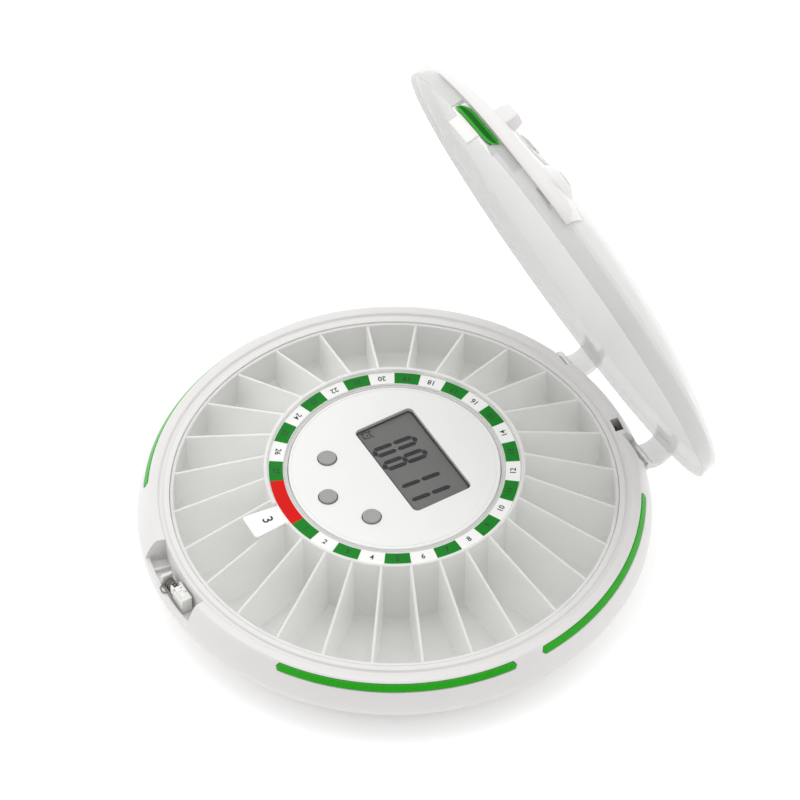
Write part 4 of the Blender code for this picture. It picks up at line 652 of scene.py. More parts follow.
def housing_profile():
    """The blank's outline. The skirt's points stand a little off it until the rule draws them in."""
    heights = [
        28.4, 27.8, 27.0, 26.0, 24.6, 23.0, 21.0, 19.0, 17.0, 15.0, 13.0, 11.0, 9.0, 7.0, 5.0, 3.5, 2.2, 1.8
    ]
    inner = [1.8, 4.0, 6.5, 9.0, 12.0]
    return [
        (0.0, DECK_Z), (HUB_R - SKIN, DECK_Z, 0.5), (HUB_R - SKIN, 37.5, 0.3), (HUB_R, 37.5, 0.3),
        (HUB_R, DECK_Z, 0.5), (SHOULDER_R, DECK_Z, 0.6), (SHOULDER_R, WELL_Z, 0.8), (WELL_R, WELL_Z, 1.0),
        (WELL_R, 26.4, 0.3), (87.05, 27.0, 0.2), (87.05, RIM_Z, 0.3), (89.2, RIM_Z, 0.9), (89.7, 28.1, 0.9),
        (91.0, 28.1, 0.9), (91.5, RIM_Z, 0.9), (94.8, RIM_Z, 0.6), *[(skirt_radius(z), z) for z in heights],
        *[(skirt_radius(z) - SKIN, z) for z in inner], (WELL_R + SKIN, 12.0, 0.5),
        (WELL_R + SKIN, WELL_Z - SKIN, 0.8), (SHOULDER_R - SKIN, WELL_Z - SKIN, 0.6),
        (SHOULDER_R - SKIN, DECK_Z - 2.0, 0.6), (0.0, DECK_Z - 2.0)
    ]


def ruled_skirt(mesh):
    """Marks the skirt's points with their depth below its outer skin and lets the tree shape them."""
    marks = mesh.attributes.new("skirt_depth", "FLOAT", "POINT")
    for point, mark in zip(mesh.vertices, marks.data):
        radius = math.hypot(point.co.x, point.co.y) / MM
        z = point.co.z / MM
        mark.value = max(0.0, skirt_radius(z) - radius) * MM
    return grown(mesh, SKIRT_RULE, {"Material": WHITE, **SKIRT_SIZES})


def strip_shell(start, end, low, high, outer, depth, chamfer=0.0, columns=64):
    """A band with half-round ends laid on the skirt between two azimuths and two heights."""
    half = (high - low) / 2
    middle = (high + low) / 2
    span = math.radians(end - start) * skirt_radius(middle)
    rows = [-1.0, -0.9, -0.5, 0.0, 0.5, 0.9, 1.0]
    loops = []
    for i in range(columns + 1):
        share = i / columns
        along = span * (share - 0.14 * math.sin(2 * math.pi * share) / math.pi)
        to_end = min(along, span - along)
        bow = math.sqrt(max(0.0, 1 - ((half - to_end) / half) ** 2)) if to_end < half else 1.0
        azimuth = start + (end - start) * along / span
        heights = [middle + half * max(bow, 0.02) * row for row in rows + [1.0, -1.0]]
        lifts = [outer - (chamfer if abs(row) == 1.0 or i in (0, columns) else 0.0) for row in rows]
        skin = zip(heights, lifts + [-depth, -depth])
        loops.append([tuple(polar(skirt_radius(z) + lift, azimuth, z)) for z, lift in skin])
    return lofted(loops)


def housing_cutters():
    above = RIM_Z + 3.0
    notch = [
        (NOTCH_R, above), (WIDEST + 3.0, above), (WIDEST + 3.0, LIP_Z), (LIP_INNER, LIP_Z),
        (LIP_INNER, NOTCH_Z, 0.5), (NOTCH_R, NOTCH_Z, 0.5)
    ]
    rim, middle, low = [(skirt_radius(z) - POCKET_SKIN, z) for z in (RIM_Z, 21.8, POCKET_Z)]
    pocket = [(NOTCH_R, above), (rim[0], above), rim, middle, low, (NOTCH_R, POCKET_Z)]
    tools = [turned(notch, NOTCH_AZ[0], NOTCH_AZ[1] - NOTCH_AZ[0], 24), turned(pocket, *SPRING_POCKET, 6)]
    for side in (-1, 1):
        low_x, high_x = sorted((side * (ARM_X[0] - 0.4), side * (ARM_X[1] + 0.4)))
        tools.append(block((low_x, PIVOT.y - 3.5, 16.5), (high_x, WIDEST + 3.0, above)))
        bore_x = sorted((side * 8.7, side * ARM_X[0]))
        tools.append(rod_along_x(PIN_BORE_R, *bore_x))
    for start, end in STRIP_SPANS:
        tools.append(strip_shell(start - 0.17, end + 0.17, STRIP_Z[0] - 0.3, STRIP_Z[1] + 0.3, 2.0, 1.3))
    # the window in the hub's tower where the idler reaches the inside gear
    tools.append(block((-12.0, HUB_R - SKIN - 2.0, DECK_Z - 0.3), (12.0, SHOULDER_R - 2.0, 25.6)))
    return tools


def rod_along_x(radius, left, right, y=PIVOT.y, z=PIVOT.z, steps=32):
    return lofted([upright(circle(radius, (y, z), steps), x) for x in (left, right)])


def inner_post(radius, top, centre):
    low = DECK_Z - 0.1
    return turned([(0.0, top), (radius, top), (radius, low), (0.0, low)], steps=32, centre=centre)


SKIRT_RULE = tree_skirt()
housing_blank = ruled_skirt(turned(housing_profile()))
housing_mesh = carved(clean(housing_blank), *housing_cutters())
inner_posts = [inner_post(1.6, 25.0, (0.0, 34.5))]
inner_posts += [inner_post(2.9, 25.3, (x, 16.5)) for x in (-17.5, 17.5)]
bosses = [turned([(4.2, 7.2), (4.2, 3.6), (1.6, 3.6), (1.6, 7.2)], steps=32, centre=at) for at in SCREWS]
piece("housing_inner_posts", gathered(*inner_posts, *bosses), WHITE, *HOUSING)
stop_post = plate(rectangle(0.7, 2.3, 0.3, (-11.3, -94.4)), NOTCH_Z - 0.3, 23.7, 0.2)
housing_mesh = carved(housing_mesh, stop_post, operation="UNION")
piece("base_housing_moulding", housing_mesh, WHITE, *HOUSING)

# %% [markdown]
# ## Light strips
# Four green acrylic strips are let into the skirt under the rim. Each is a band with half-round ends that
# follows the skirt's curve, with a small chamfer that reads as a darker line round it.

# %% Strips
for number, (start, end) in enumerate(STRIP_SPANS, 1):
    strip = strip_shell(start, end, STRIP_Z[0], STRIP_Z[1], 0.0, 1.0, chamfer=0.35, columns=72)
    piece(f"light_strip_lens_{number}", strip, GREEN, "base", "green_acrylic", f"light_strip_{number}")

# %% [markdown]
# ## Pill tray
# The tray is one frosted moulding: an inner wall with a flange that hangs on the ring's drive, a floor, an
# outer wall, and 28 radial walls whose tops slope down to the rim. The walls repeat round the axis, so one
# is modelled and a Geometry Nodes tree makes the rest.

# %% Tray shell and walls
POCKETS = 28
FIRST_WALL = 311.0
TRAY_INNER = 50.4
TRAY_OUTER = 85.4
TRAY_FLOOR = 11.3
TAB_AZ = (262.8, 273.4)
tray_profile = [
    (TRAY_INNER, 43.4, 0.4), (TRAY_INNER, TRAY_FLOOR, 1.4), (TRAY_OUTER, TRAY_FLOOR, 2.4),
    (TRAY_OUTER, 28.7, 0.4), (86.8, 28.7, 0.4), (86.8, 9.9, 1.2), (49.0, 9.9, 0.4), (49.0, 39.8, 0.5),
    (41.2, 39.8, 0.2), (41.2, 41.75, 0.2), (41.6, 41.75, 0.2), (41.8, 41.3, 0.1), (42.2, 41.3, 0.1),
    (42.4, 41.75, 0.2), (42.8, 41.75, 0.1), (42.8, 41.2, 0.1), (49.0, 41.2), (49.0, 43.4, 0.4)
]


def tab_gate():
    """The room that the ring's tab takes in the tray's flange and walls."""
    inner, outer, low, high, gap = 48.9, 63.7, 41.2, 46.0, 0.4
    outline = [(inner, high), (outer, high), (outer, low), (inner, low)]
    return turned(outline, TAB_AZ[0] - gap, TAB_AZ[1] - TAB_AZ[0] + 2 * gap, 8)


tray_mesh = carved(turned(tray_profile, FIRST_WALL), tab_gate())
piece("tray_shell", tray_mesh, FROSTED, *TRAY)


def tray_wall():
    """One wall along +X: thinner at its top than at its foot, with a round crest."""
    loops = []
    for i in range(9):
        r = TRAY_INNER - 0.1 + (TRAY_OUTER - TRAY_INNER + 0.2) * i / 8
        top = 43.1 - (43.1 - 28.4) * i / 8
        loops.append([
            (r, -0.65, TRAY_FLOOR - 0.2), (r, 0.65, TRAY_FLOOR - 0.2), (r, 0.52, top - 0.35),
            (r, 0.30, top - 0.06), (r, 0.0, top), (r, -0.30, top - 0.06), (r, -0.52, top - 0.35)
        ])
    return lofted(loops)


wall_places = {"Count": POCKETS, "First Azimuth": FIRST_WALL, "Step": 360.0 / POCKETS, "Material": FROSTED}
walls = grown(tray_wall(), ROUND_AXIS, wall_places)
piece("tray_walls", carved(walls, tab_gate()), FROSTED, *TRAY)

# %% [markdown]
# ## Dosage ring
# A printed card ring turns with the tray: 14 green fields and 13 white ones between them, a long red
# field, and a white tab that reaches out over the pocket that is due. On the card each field carries a
# plain number.

# %% Card, fields and tab
RING_R = (42.9, 48.5)
CARD_Z = 41.5
CARD_TOP = 41.94
PRINT_TOP = 41.99
FIGURE_TOP = 42.0
FIELD_START = 275.6
FIELD_STEP = 12.314
FIELDS = 27

card = turned([(RING_R[0], CARD_TOP), (RING_R[0], CARD_Z), (RING_R[1], CARD_Z), (RING_R[1], CARD_TOP)])
piece("ring_card", card, CARD, *RING)


def tab_outline():
    """The tab seen from above, with round corners at its far end."""
    reach = 63.3
    inner = [spot(48.3, a) for a in (TAB_AZ[1], (TAB_AZ[0] + TAB_AZ[1]) / 2, TAB_AZ[0])]
    outer = []
    for azimuth, side in ((TAB_AZ[0], 1), (TAB_AZ[1], -1)):
        for i in range(5):
            t = i / 4 if side > 0 else 1 - i / 4
            outer.append(spot(reach - 1.2 * (1 - t) ** 2, azimuth + side * 1.1 * t**2))
    return inner + outer


tab = prism(tab_outline(), CARD_Z + 0.02, CARD_TOP + 0.02)
piece("ring_tab", tab, CARD, *RING)


def field(sweep, steps):
    inner, outer, low = RING_R[0] + 0.1, RING_R[1] - 0.1, CARD_TOP - 0.1
    return turned([(inner, PRINT_TOP), (inner, low), (outer, low), (outer, PRINT_TOP)], 0.0, sweep, steps)


green_places = {"Count": 14, "First Azimuth": FIELD_START, "Step": 2 * FIELD_STEP, "Material": CARD_GREEN}
green_fields = grown(field(FIELD_STEP, 10), ROUND_AXIS, green_places)
piece("ring_green_fields", clean(green_fields), CARD_GREEN, *RING)
red_sweep = 360.0 - FIELDS * FIELD_STEP
red_field = field(red_sweep, 22)
red_field.transform(Matrix.Rotation(math.radians(FIELD_START - red_sweep), 4, "Z"))
piece("ring_red_field", red_field, CARD_RED, *RING)

# %% [markdown]
# The numbers are text, made a mesh before it is turned into its place, so that nothing is left for an
# exporter to guess. Each one reads from outside the ring.

# %% Numbers
def number_mesh(text, height, centre, turn, bottom, top):
    """Flat text of one height in millimetres, centred on a point and turned about Z."""
    curve = bpy.data.curves.new("number", "FONT")
    curve.body = text
    curve.size = height * 1.38 * MM
    curve.align_x = "CENTER"
    curve.align_y = "CENTER"
    curve.offset = 0.018 * height * MM
    curve.extrude = (top - bottom) / 2 * MM
    mesh = evaluated(holder_of(curve))
    middle = Vector((centre[0], centre[1], (bottom + top) / 2)) * MM
    mesh.transform(Matrix.Translation(middle) @ Matrix.Rotation(math.radians(turn), 4, "Z"))
    return mesh


figures = []
for number in range(FIELDS):
    azimuth = FIELD_START + FIELD_STEP * (number + 0.5)
    centre = polar((RING_R[0] + RING_R[1]) / 2, azimuth)
    figures.append(number_mesh(str(number + 1), 2.3, centre, azimuth + 90.0, PRINT_TOP - 0.02, FIGURE_TOP))
piece("ring_numbers", clean(gathered(*figures)), INK, *RING)
tab_centre = polar(55.2, sum(TAB_AZ) / 2)
tab_number = number_mesh("3", 4.2, tab_centre, sum(TAB_AZ) / 2 + 90.0, CARD_TOP, FIGURE_TOP)
piece("tab_number", clean(tab_number), INK, *RING)

# %% [markdown]
# ## Hub cover, display and buttons
# The hub's cover is a plain white disc with a soft edge and a fine groove just inside it. A window and
# three holes are cut through it. Under the window lies the display: a grey glass cell with dark segments,
# a printed black line round it, and a clear window over all.

# %% Hub cover
HUB_TOP = 42.0
COVER_LOW = 40.2
WINDOW = (23.5, 12.75)
WINDOW_AT = (0.0, 8.2)
BUTTONS = ((-17.0, -20.1), (0.0, -29.5), (17.0, -20.1))

cover = turned([
    (0.0, HUB_TOP), (39.3, HUB_TOP, 0.1), (39.4, HUB_TOP - 0.15, 0.1), (39.7, HUB_TOP - 0.15, 0.1),
    (39.8, HUB_TOP, 0.1), (HUB_R, HUB_TOP, 0.6), (HUB_R, 37.8, 0.3), (HUB_R - SKIN, 37.8, 0.3),
    (HUB_R - SKIN, COVER_LOW, 0.4), (0.0, COVER_LOW)
])
openings = [prism(rectangle(*WINDOW, 2.2, WINDOW_AT), COVER_LOW - 2, HUB_TOP + 2)]
openings += [prism(circle(3.9, centre), COVER_LOW - 2, HUB_TOP + 2) for centre in BUTTONS]
piece("hub_cover_disc", carved(cover, *openings), HUB_WHITE, "base", "hub_white_abs", "hub_cover")

# %% Display
LENS_Z = (40.7, 41.7)
lens_loop = rectangle(WINDOW[0] - 0.3, WINDOW[1] - 0.3, 2.0, WINDOW_AT)
piece("display_window", plate(lens_loop, *LENS_Z, 0.2), LENS, "base", "display_lens", "display_lens")


def flat_ring(outer, inner, bottom, top):
    """A flat band between two loops of equally many points."""
    levels = ((outer, bottom), (outer, top), (inner, top), (inner, bottom))
    return lofted([level(loop, z) for loop, z in levels], ring=True)


border = flat_ring(
    rectangle(WINDOW[0] - 0.32, WINDOW[1] - 0.32, 1.98, WINDOW_AT),
    rectangle(WINDOW[0] - 0.95, WINDOW[1] - 0.95, 1.35, WINDOW_AT), 40.60, 40.68
)
piece("display_border", border, INK, "base", "display_lens", "display_lens")
cell = plate(rectangle(WINDOW[0] - 0.5, WINDOW[1] - 0.5, 1.6, WINDOW_AT), 39.2, 40.4, 0.1)
piece("display_glass", cell, LCD, "base", "display_glass", "display_cell")

# %% [markdown]
# The digits lean a few degrees, as on most displays of this kind. Each segment is a bar with pointed ends,
# and a small gap keeps it from its neighbours.

# %% Segments
DIGIT = (5.4, 18.8)
DIGIT_SLANT = 0.075
DIGITS_AT = ((10.0, "0"), (17.7, "8"), (27.9, "1"), (35.6, "1"))
DIGIT_FOOT = 1.3
BAR = 1.95
SEGMENT_Z = (40.38, 40.43)
LIT = {"0": "abcdef", "8": "abcdefg", "1": "bc"}


def bar_between(a, b, width):
    """A bar with pointed ends from a to b."""
    a, b = Vector(a), Vector(b)
    along = (b - a).normalized()
    side = Vector((-along.y, along.x)) * width / 2
    point = along * width / 2
    return [
        tuple(p) for p in (a, a + point + side, b - point + side, b, b - point - side, a + point - side)
    ]


def digit_bars(text):
    width, height = DIGIT
    left, right = BAR / 2, width - BAR / 2
    low, middle, high = BAR / 2, height / 2, height - BAR / 2
    gap = 0.14
    ends = {
        "a": ((left + gap, high), (right - gap, high)), "b": ((right, high - gap), (right, middle + gap)),
        "c": ((right, middle - gap), (right, low + gap)), "d": ((left + gap, low), (right - gap, low)),
        "e": ((left, middle - gap), (left, low + gap)), "f": ((left, high - gap), (left, middle + gap)),
        "g": ((left + gap, middle), (right - gap, middle))
    }
    return [bar_between(*ends[name], BAR) for name in LIT[text]]


def on_display(points, left, bottom):
    """Points of the display's own grid, leaned over and moved to the window's lower left corner."""
    corner = (WINDOW_AT[0] - WINDOW[0], WINDOW_AT[1] - WINDOW[1])
    return [(corner[0] + left + x + DIGIT_SLANT * y, corner[1] + bottom + y) for x, y in points]


def clock_sign():
    """A small alarm clock: a ring, two hands, two bells and two feet."""
    centre = (2.75, 4.1)
    hands = [bar_between(centre, (2.75, 5.3), 0.34), bar_between(centre, (3.6, 4.1), 0.34)]
    bells = [bar_between((0.95, 5.6), (1.75, 6.3), 0.7), bar_between((3.75, 6.3), (4.55, 5.6), 0.7)]
    feet = [bar_between((1.1, 2.2), (1.7, 2.9), 0.4), bar_between((3.8, 2.9), (4.4, 2.2), 0.4)]
    shapes = [prism(on_display(bar, 0.0, 0.0), *SEGMENT_Z) for bar in hands + bells + feet]
    outer = on_display(circle(1.75, centre), 0.0, 0.0)
    inner = on_display(circle(1.40, centre), 0.0, 0.0)
    return shapes + [flat_ring(outer, inner, *SEGMENT_Z)]


bars = []
for left, text in DIGITS_AT:
    bars += [prism(on_display(bar, left, DIGIT_FOOT), *SEGMENT_Z) for bar in digit_bars(text)]
segments = gathered(*bars, *clock_sign())
piece("display_segments", clean(segments), SEGMENT, "base", "display_glass", "display_cell")

# %% Buttons
CAP = [
    (0.0, 42.66), (2.3, 42.72, 1.0), (3.5, 42.80, 0.35), (3.5, 39.9), (4.4, 39.9, 0.1), (4.4, 39.2, 0.1),
    (0.0, 39.2)
]
for number, (centre, side) in enumerate(zip(BUTTONS, ("left", "middle", "right")), 1):
    button = turned(CAP, steps=64, centre=centre)
    piece(f"button_cap_{number}", button, BUTTON, f"button_{side}", "grey_rubber", f"hub_button_{number}")

# %% [markdown]
# ## Lid
# The lid is drawn closed, where its sizes are easy to read, and then swung open about the hinge's axis as
# in the photograph. It is a shallow dome on a low wall, frosted and see-through, carried by two arms that
# curl round the rim like a C, so that they clear it as the lid swings.

# %% Lid shell
OPEN_ANGLE = 70.0
TO_PIVOT = Matrix.Translation(PIVOT * MM)
LID_OPEN = TO_PIVOT @ Matrix.Rotation(math.radians(-OPEN_ANGLE), 4, "X") @ TO_PIVOT.inverted()
LID_R = 94.0
LID_LOW = 29.3
LID_TOP = 50.5
LID_RISE = 12.9
LID_CURVE = 2.5
LID_CORNER_R = 90.9
LID_CORNER_Z = 37.6
LID_SKIN = 1.8


def dome_z(radius):
    return LID_TOP - LID_RISE * (radius / LID_CORNER_R) ** LID_CURVE


def opened(mesh):
    mesh.transform(LID_OPEN)
    return mesh


def lid_profile():
    radii = [LID_CORNER_R * s for s in (0.0, 0.15, 0.3, 0.45, 0.6, 0.7, 0.8, 0.88, 0.94)]
    inner_corner = LID_CORNER_R - 0.9
    inner_radii = [inner_corner * s for s in (0.94, 0.86, 0.7, 0.6, 0.45, 0.3, 0.15, 0.0)]
    return [
        *[(r, dome_z(r)) for r in radii], (LID_CORNER_R, LID_CORNER_Z, 1.6), (93.2, 35.9, 1.2),
        (93.75, 32.2), (LID_R, LID_LOW, 0.3), (LID_R - 0.9, LID_LOW, 0.2), (LID_R - 0.9, 31.3, 0.2),
        (LID_R - 1.9, 31.9, 0.2), (91.4, 35.1, 1.0), (inner_corner, dome_z(inner_corner) - LID_SKIN, 1.8),
        *[(r, dome_z(r) - LID_SKIN) for r in inner_radii]
    ]


def lid_arm(side):
    """An arm of the lid: a C-shaped strap with round edges that ends in an eye on the pin."""
    centre = (PIVOT.y - 2.4, PIVOT.z + 7.3)
    radius, half = 7.6, 1.2
    loop = arc(centre, radius + half, -75.0, 90.0, 28)
    loop += [(85.35, centre[1] + radius + half), (85.35, centre[1] + radius - half)]
    loop += arc(centre, radius - half, 90.0, -75.0, 24)
    low_x, high_x = sorted((side * ARM_X[0], side * ARM_X[1]))
    levels = (
        (low_x, 0.35), (low_x + 0.1, 0.1), (low_x + 0.35, 0.0), (high_x - 0.35, 0.0), (high_x - 0.1, 0.1),
        (high_x, 0.35)
    )
    strap = lofted([upright(drawn_in(loop, inset), x) for x, inset in levels])
    eye = rod_along_x(3.1, low_x, high_x, steps=40)
    strap = carved(strap, eye, operation="UNION")
    inside = prism(circle(LID_R - 1.3, steps=TURN_STEPS), PIVOT.z - 2.0, LID_TOP)
    bore = rod_along_x(PIN_BORE_R, low_x - 2, high_x + 2)
    return carved(strap, inside, bore)


LOCK_AZ = 286.5
LOCK_AT = spot(85.0, LOCK_AZ)
LOCK_BORE_R = 4.6
PRESS_AZ = 262.0
DOOR_AZ = 266.0


def lock_bore():
    return prism(circle(LOCK_BORE_R, LOCK_AT), 29.0, 52.0)


lid_mesh = turned(lid_profile())
lid_mesh = carved(lid_mesh, lid_arm(-1), lid_arm(1), operation="UNION")
press_window = turned([(96.0, 34.2), (96.0, 27.0), (90.0, 27.0), (90.0, 34.2)], PRESS_AZ - 8.6, 17.2, 16)
door_hole = turned([(74.6, 49.0), (74.6, 37.0), (63.6, 37.0), (63.6, 49.0)], DOOR_AZ - 4.7, 9.4, 8)
lid_mesh = carved(lid_mesh, press_window, door_hole, lock_bore())
piece("lid_dome", opened(lid_mesh), LID_FROSTED, "lid", "frosted_polycarbonate", "lid_shell")

# %% [markdown]
# ## What sits on the lid's front
# A white housing wraps the lid's front corner and hides the lock and the release. Its section is a band
# over the corner; it swells from thin ends to its full height, so it is lofted from sections whose outer
# side is drawn towards the lid near both ends.

# %% Lid housing
HOUSING_AZ = (236.0, 297.0)
LIFT_TAB_AZ = 265.0


def housing_section(azimuth):
    """The housing thins out to a point at its left end, swells round the lock, and ends in a round nose."""
    rise = min(1.0, max(0.02, (azimuth - HOUSING_AZ[0]) / 24.0)) ** 0.6
    nose = max(0.05, min(1.0, (HOUSING_AZ[1] - azimuth) / 4.5))
    swell = rise * math.sqrt(1 - (1 - nose) ** 2)
    towards_lock = max(0.0, 1.0 - abs(azimuth - LOCK_AZ) / 12.0)
    bulge = 1.2 * towards_lock**2 * (3 - 2 * towards_lock)
    inner_r = 78.7
    over = [
        (inner_r, dome_z(inner_r) + 0.6), (inner_r + 2.2, 42.0 + bulge, 1.5), (88.0, 41.6 + bulge, 3.0),
        (94.2, 40.0 + bulge / 2, 2.5), (95.8, 36.8, 2.0), (95.8, 34.8, 0.5), (94.4, 34.7, 0.1)
    ]
    under = [(93.8, 36.2), (91.3, 38.2), (84.8, dome_z(84.8) + 0.3), (inner_r, dome_z(inner_r) + 0.3)]
    loop = rounded(over + under, 5)
    drawn = []
    for r, z in loop:
        flush_r = min(r, 94.6)
        flush_z = min(z, lid_skin_z(r) + 0.5)
        drawn.append(polar(flush_r + (r - flush_r) * swell, azimuth, flush_z + (z - flush_z) * swell))
    return [tuple(p) for p in drawn]


def lid_skin_z(radius):
    """The height of the lid's outer skin at a radius, down its corner and wall."""
    if radius <= LID_CORNER_R:
        return dome_z(radius)
    if radius <= 93.2:
        return LID_CORNER_Z - 1.7 * (radius - LID_CORNER_R) / 2.3
    return 35.9


hood = lofted([
    housing_section(HOUSING_AZ[0] + (HOUSING_AZ[1] - HOUSING_AZ[0]) * i / 96) for i in range(97)
])
tab_loop = rectangle(3.5, 4.5, 1.0, (89.6, 0.0))
tab_top = rectangle(2.9, 3.6, 0.9, (89.3, 0.0))
tab_levels = [
    (tab_loop, 39.6), (tab_loop, 43.4), (drawn_in(tab_top, -0.25), 45.9), (drawn_in(tab_top, 0.1), 46.3),
    (drawn_in(tab_top, 0.5), 46.4)
]
lift_tab = lofted([level(loop, z) for loop, z in tab_levels])
lift_tab.transform(Matrix.Rotation(math.radians(LIFT_TAB_AZ), 4, "Z"))
lock_mound = turned(
    [(0.0, 44.1), (6.9, 44.1, 2.0), (9.7, 41.2, 1.5), (9.7, 39.3), (0.0, 39.3)], steps=96, centre=LOCK_AT
)
lock_mound = carved(lock_mound, prism(circle(79.2, steps=192), 30.0, 50.0))
hood = carved(hood, lift_tab, lock_mound, operation="UNION")
hood = carved(hood, lock_bore())
piece("lid_hood", opened(hood), WHITE, "lid", "white_abs", "lid_housing")

# %% [markdown]
# The press bar is a green acrylic bar under the housing. Its visible face is a leaf: two sharp corners and
# two round ones, with a paler border round a deeper middle. Face, border and bar are separate thin layers.

# %% Press bar
LEAF_HALF = 11.6


def on_press_face(s, t, lift):
    """A point on the bar's slanted face: s along the rim in millimetres, t up the slope from 0 to 1."""
    radius = 94.2 - 0.9 * t
    azimuth = PRESS_AZ + 1.2 + math.degrees(s / 94.0)
    return tuple(polar(radius + lift, azimuth, 30.3 + 3.9 * t))


def leaf_span(s, inset):
    """How far the leaf reaches up and down at a place along the bar; two corners are sharp, two round."""
    half, lean, edge = LEAF_HALF - inset, 2.5, inset / 4.2
    low, high = edge, 1.0 - edge
    rise = (s + half + lean) / (2 * lean + 2.4)
    fall = (half + lean - s) / (2 * lean + 2.4)
    top = low + (high - low) * math.sqrt(1 - (1 - min(1.0, max(0.0, rise))) ** 2)
    bottom = high - (high - low) * math.sqrt(1 - (1 - min(1.0, max(0.0, fall))) ** 2)
    return bottom, top


def leaf_plate(inset, low, high):
    """A thin layer with the leaf's outline, lofted from one end of the bar to the other."""
    reach = LEAF_HALF - inset + 2.45
    sections = []
    for i in range(61):
        s = -reach + 2 * reach * i / 60
        bottom, top = leaf_span(s, inset)
        corners = ((bottom, low), (top, low), (top, high), (bottom, high))
        sections.append([on_press_face(s, t, lift) for t, lift in corners])
    return lofted(sections)


bar_profile = [
    (88.5, 33.9, 0.3), (93.7, 29.7, 0.2), (93.7, 29.4, 0.1), (86.5, 29.4, 0.4), (86.5, 33.9, 0.4)
]
bar_mesh = turned(bar_profile, PRESS_AZ - 8.2, 16.4, 24)
tongue = turned([(93.6, 30.0), (93.6, 24.7, 0.4), (92.5, 24.7, 0.4), (92.5, 30.0)], 257.2, 8.8, 12)
bar_mesh = carved(bar_mesh, tongue, operation="UNION")
piece("press_bar_body", opened(bar_mesh), NYLON, *PRESS_BAR)
piece("press_leaf", opened(leaf_plate(0.0, -0.3, 0.12)), GREEN, *PRESS_BAR)
piece("press_leaf_middle", opened(leaf_plate(1.1, 0.0, 0.25)), GREEN_DARK, *PRESS_BAR)

# %% [markdown]
# Behind the bar a clear inner wall keeps fingers off the latch. Next to it sit the lock, a round bezel
# with a metal barrel and its keyway, and the small door over one pocket, which has a ribbed grip.

# %% Latch cover, lock and pill door
cover_top = dome_z(83.0) - LID_SKIN - 0.2
inner_wall = turned(
    [(83.0, cover_top, 0.3), (83.0, 32.3, 0.4), (81.7, 32.3, 0.4), (81.7, cover_top, 0.3)], PRESS_AZ - 14.0,
    28.0, 32
)
piece("latch_screen", opened(inner_wall), LID_FROSTED, "lid", "frosted_polycarbonate", "latch_cover")

bezel = turned(
    [(LOCK_BORE_R, 44.8, 0.2), (LOCK_BORE_R, 42.9), (6.6, 42.9, 0.2), (6.6, 44.1, 0.9), (5.2, 45.0, 0.5)],
    steps=72, centre=LOCK_AT
)
piece("lock_ring", opened(bezel), WHITE, "lid", "white_abs", "lock_bezel")
barrel = turned([(0.0, 45.4), (4.3, 45.4, 0.5), (4.3, 35.6, 0.2), (0.0, 35.6)], steps=64, centre=LOCK_AT)
keyway = prism(rectangle(0.55, 2.6, 0.2, LOCK_AT), 43.4, 47.0)
piece("lock_plug", opened(carved(barrel, keyway)), ZINC, "lock", "plated_zinc", "lock_barrel")


def door_section(azimuth):
    inner, outer = 62.0, 76.2
    low = [(outer - 0.1, dome_z(outer) + 0.3), (inner + 0.1, dome_z(inner) + 0.3)]
    high = [(inner, dome_z(inner) + 1.5, 0.4), (outer, dome_z(outer) + 1.5, 0.4)]
    return [tuple(polar(r, azimuth, z)) for r, z in rounded(low + high, 3)]


door = lofted([door_section(DOOR_AZ - 6.0 + 12.0 * i / 16) for i in range(17)])
for number in range(4):
    grip_r = 73.9 - 1.5 * number
    grip_z = dome_z(grip_r) + 1.35
    outer, top = grip_r + 0.7, grip_z + 0.75
    rib_outline = [(grip_r, grip_z, 0.1), (outer, grip_z, 0.1), (outer, top, 0.3), (grip_r, top, 0.3)]
    grip = turned(rib_outline, DOOR_AZ - 3.2, 6.4, 12)
    door = carved(door, grip, operation="UNION")
piece("pill_door_flap", opened(door), LID_FROSTED, "pill_door", "frosted_polycarbonate", "pill_door")

# %% [markdown]
# ## Hinge and latch
# Springs and wires follow a path, so their centre lines are written as points and the wire tree gives them
# their thickness. The catch is a block of natural nylon with a U-shaped seat for its spring.

# %% Springs and wires
CATCH_Y = -94.38
COIL_Z = 20.5
LATCH_WIRE = 0.26


def coil(start, end, radius, turns, per_turn=28, phase=0.0):
    """The centre line of a coil about an axis along X."""
    count = turns * per_turn
    points = []
    for i in range(count + 1):
        angle = math.radians(phase) + 2 * math.pi * i / per_turn
        x = start[0] + (end[0] - start[0]) * i / count
        points.append((x, start[1] + radius * math.cos(angle), start[2] + radius * math.sin(angle)))
    return points


def steel_wire(name, points, radius, node):
    piece(name, wire(points, radius, STEEL), STEEL, "base", "spring_steel", node)


hinge_coil = coil((13.54, PIVOT.y, PIVOT.z), (18.40, PIVOT.y, PIVOT.z), 1.75, 4, phase=180.0)
leg_ends = [(x, y, z + 5.0) for x, y, z in (hinge_coil[0], hinge_coil[-1])]
steel_wire("hinge_coil", [leg_ends[0], *hinge_coil, leg_ends[1]], 0.3, "hinge_spring")
latch_coil = coil((-10.04, CATCH_Y, COIL_Z), (-3.26, CATCH_Y, COIL_Z), 1.9, 5)
steel_wire("latch_coil", latch_coil, LATCH_WIRE, "latch_spring")
loop_points = [(x, y, 20.8) for x, y in arc((-7.5, -97.1), 2.0, 180.0, 360.0, 28)]
steel_wire("latch_loop", loop_points, LATCH_WIRE, "latch_wire")

for name, side in (("left", -1), ("right", 1)):
    low_x, high_x = sorted((side * 9.0, side * 32.5))
    ends = ((low_x, 0.95), (low_x + 0.3, 1.25), (high_x - 0.3, 1.25), (high_x, 0.95))
    pin_loops = [upright(circle(radius, (PIVOT.y, PIVOT.z), 32), x) for x, radius in ends]
    piece(f"hinge_pin_{name}_bright", lofted(pin_loops), STEEL, "base", "spring_steel", f"hinge_pin_{name}")

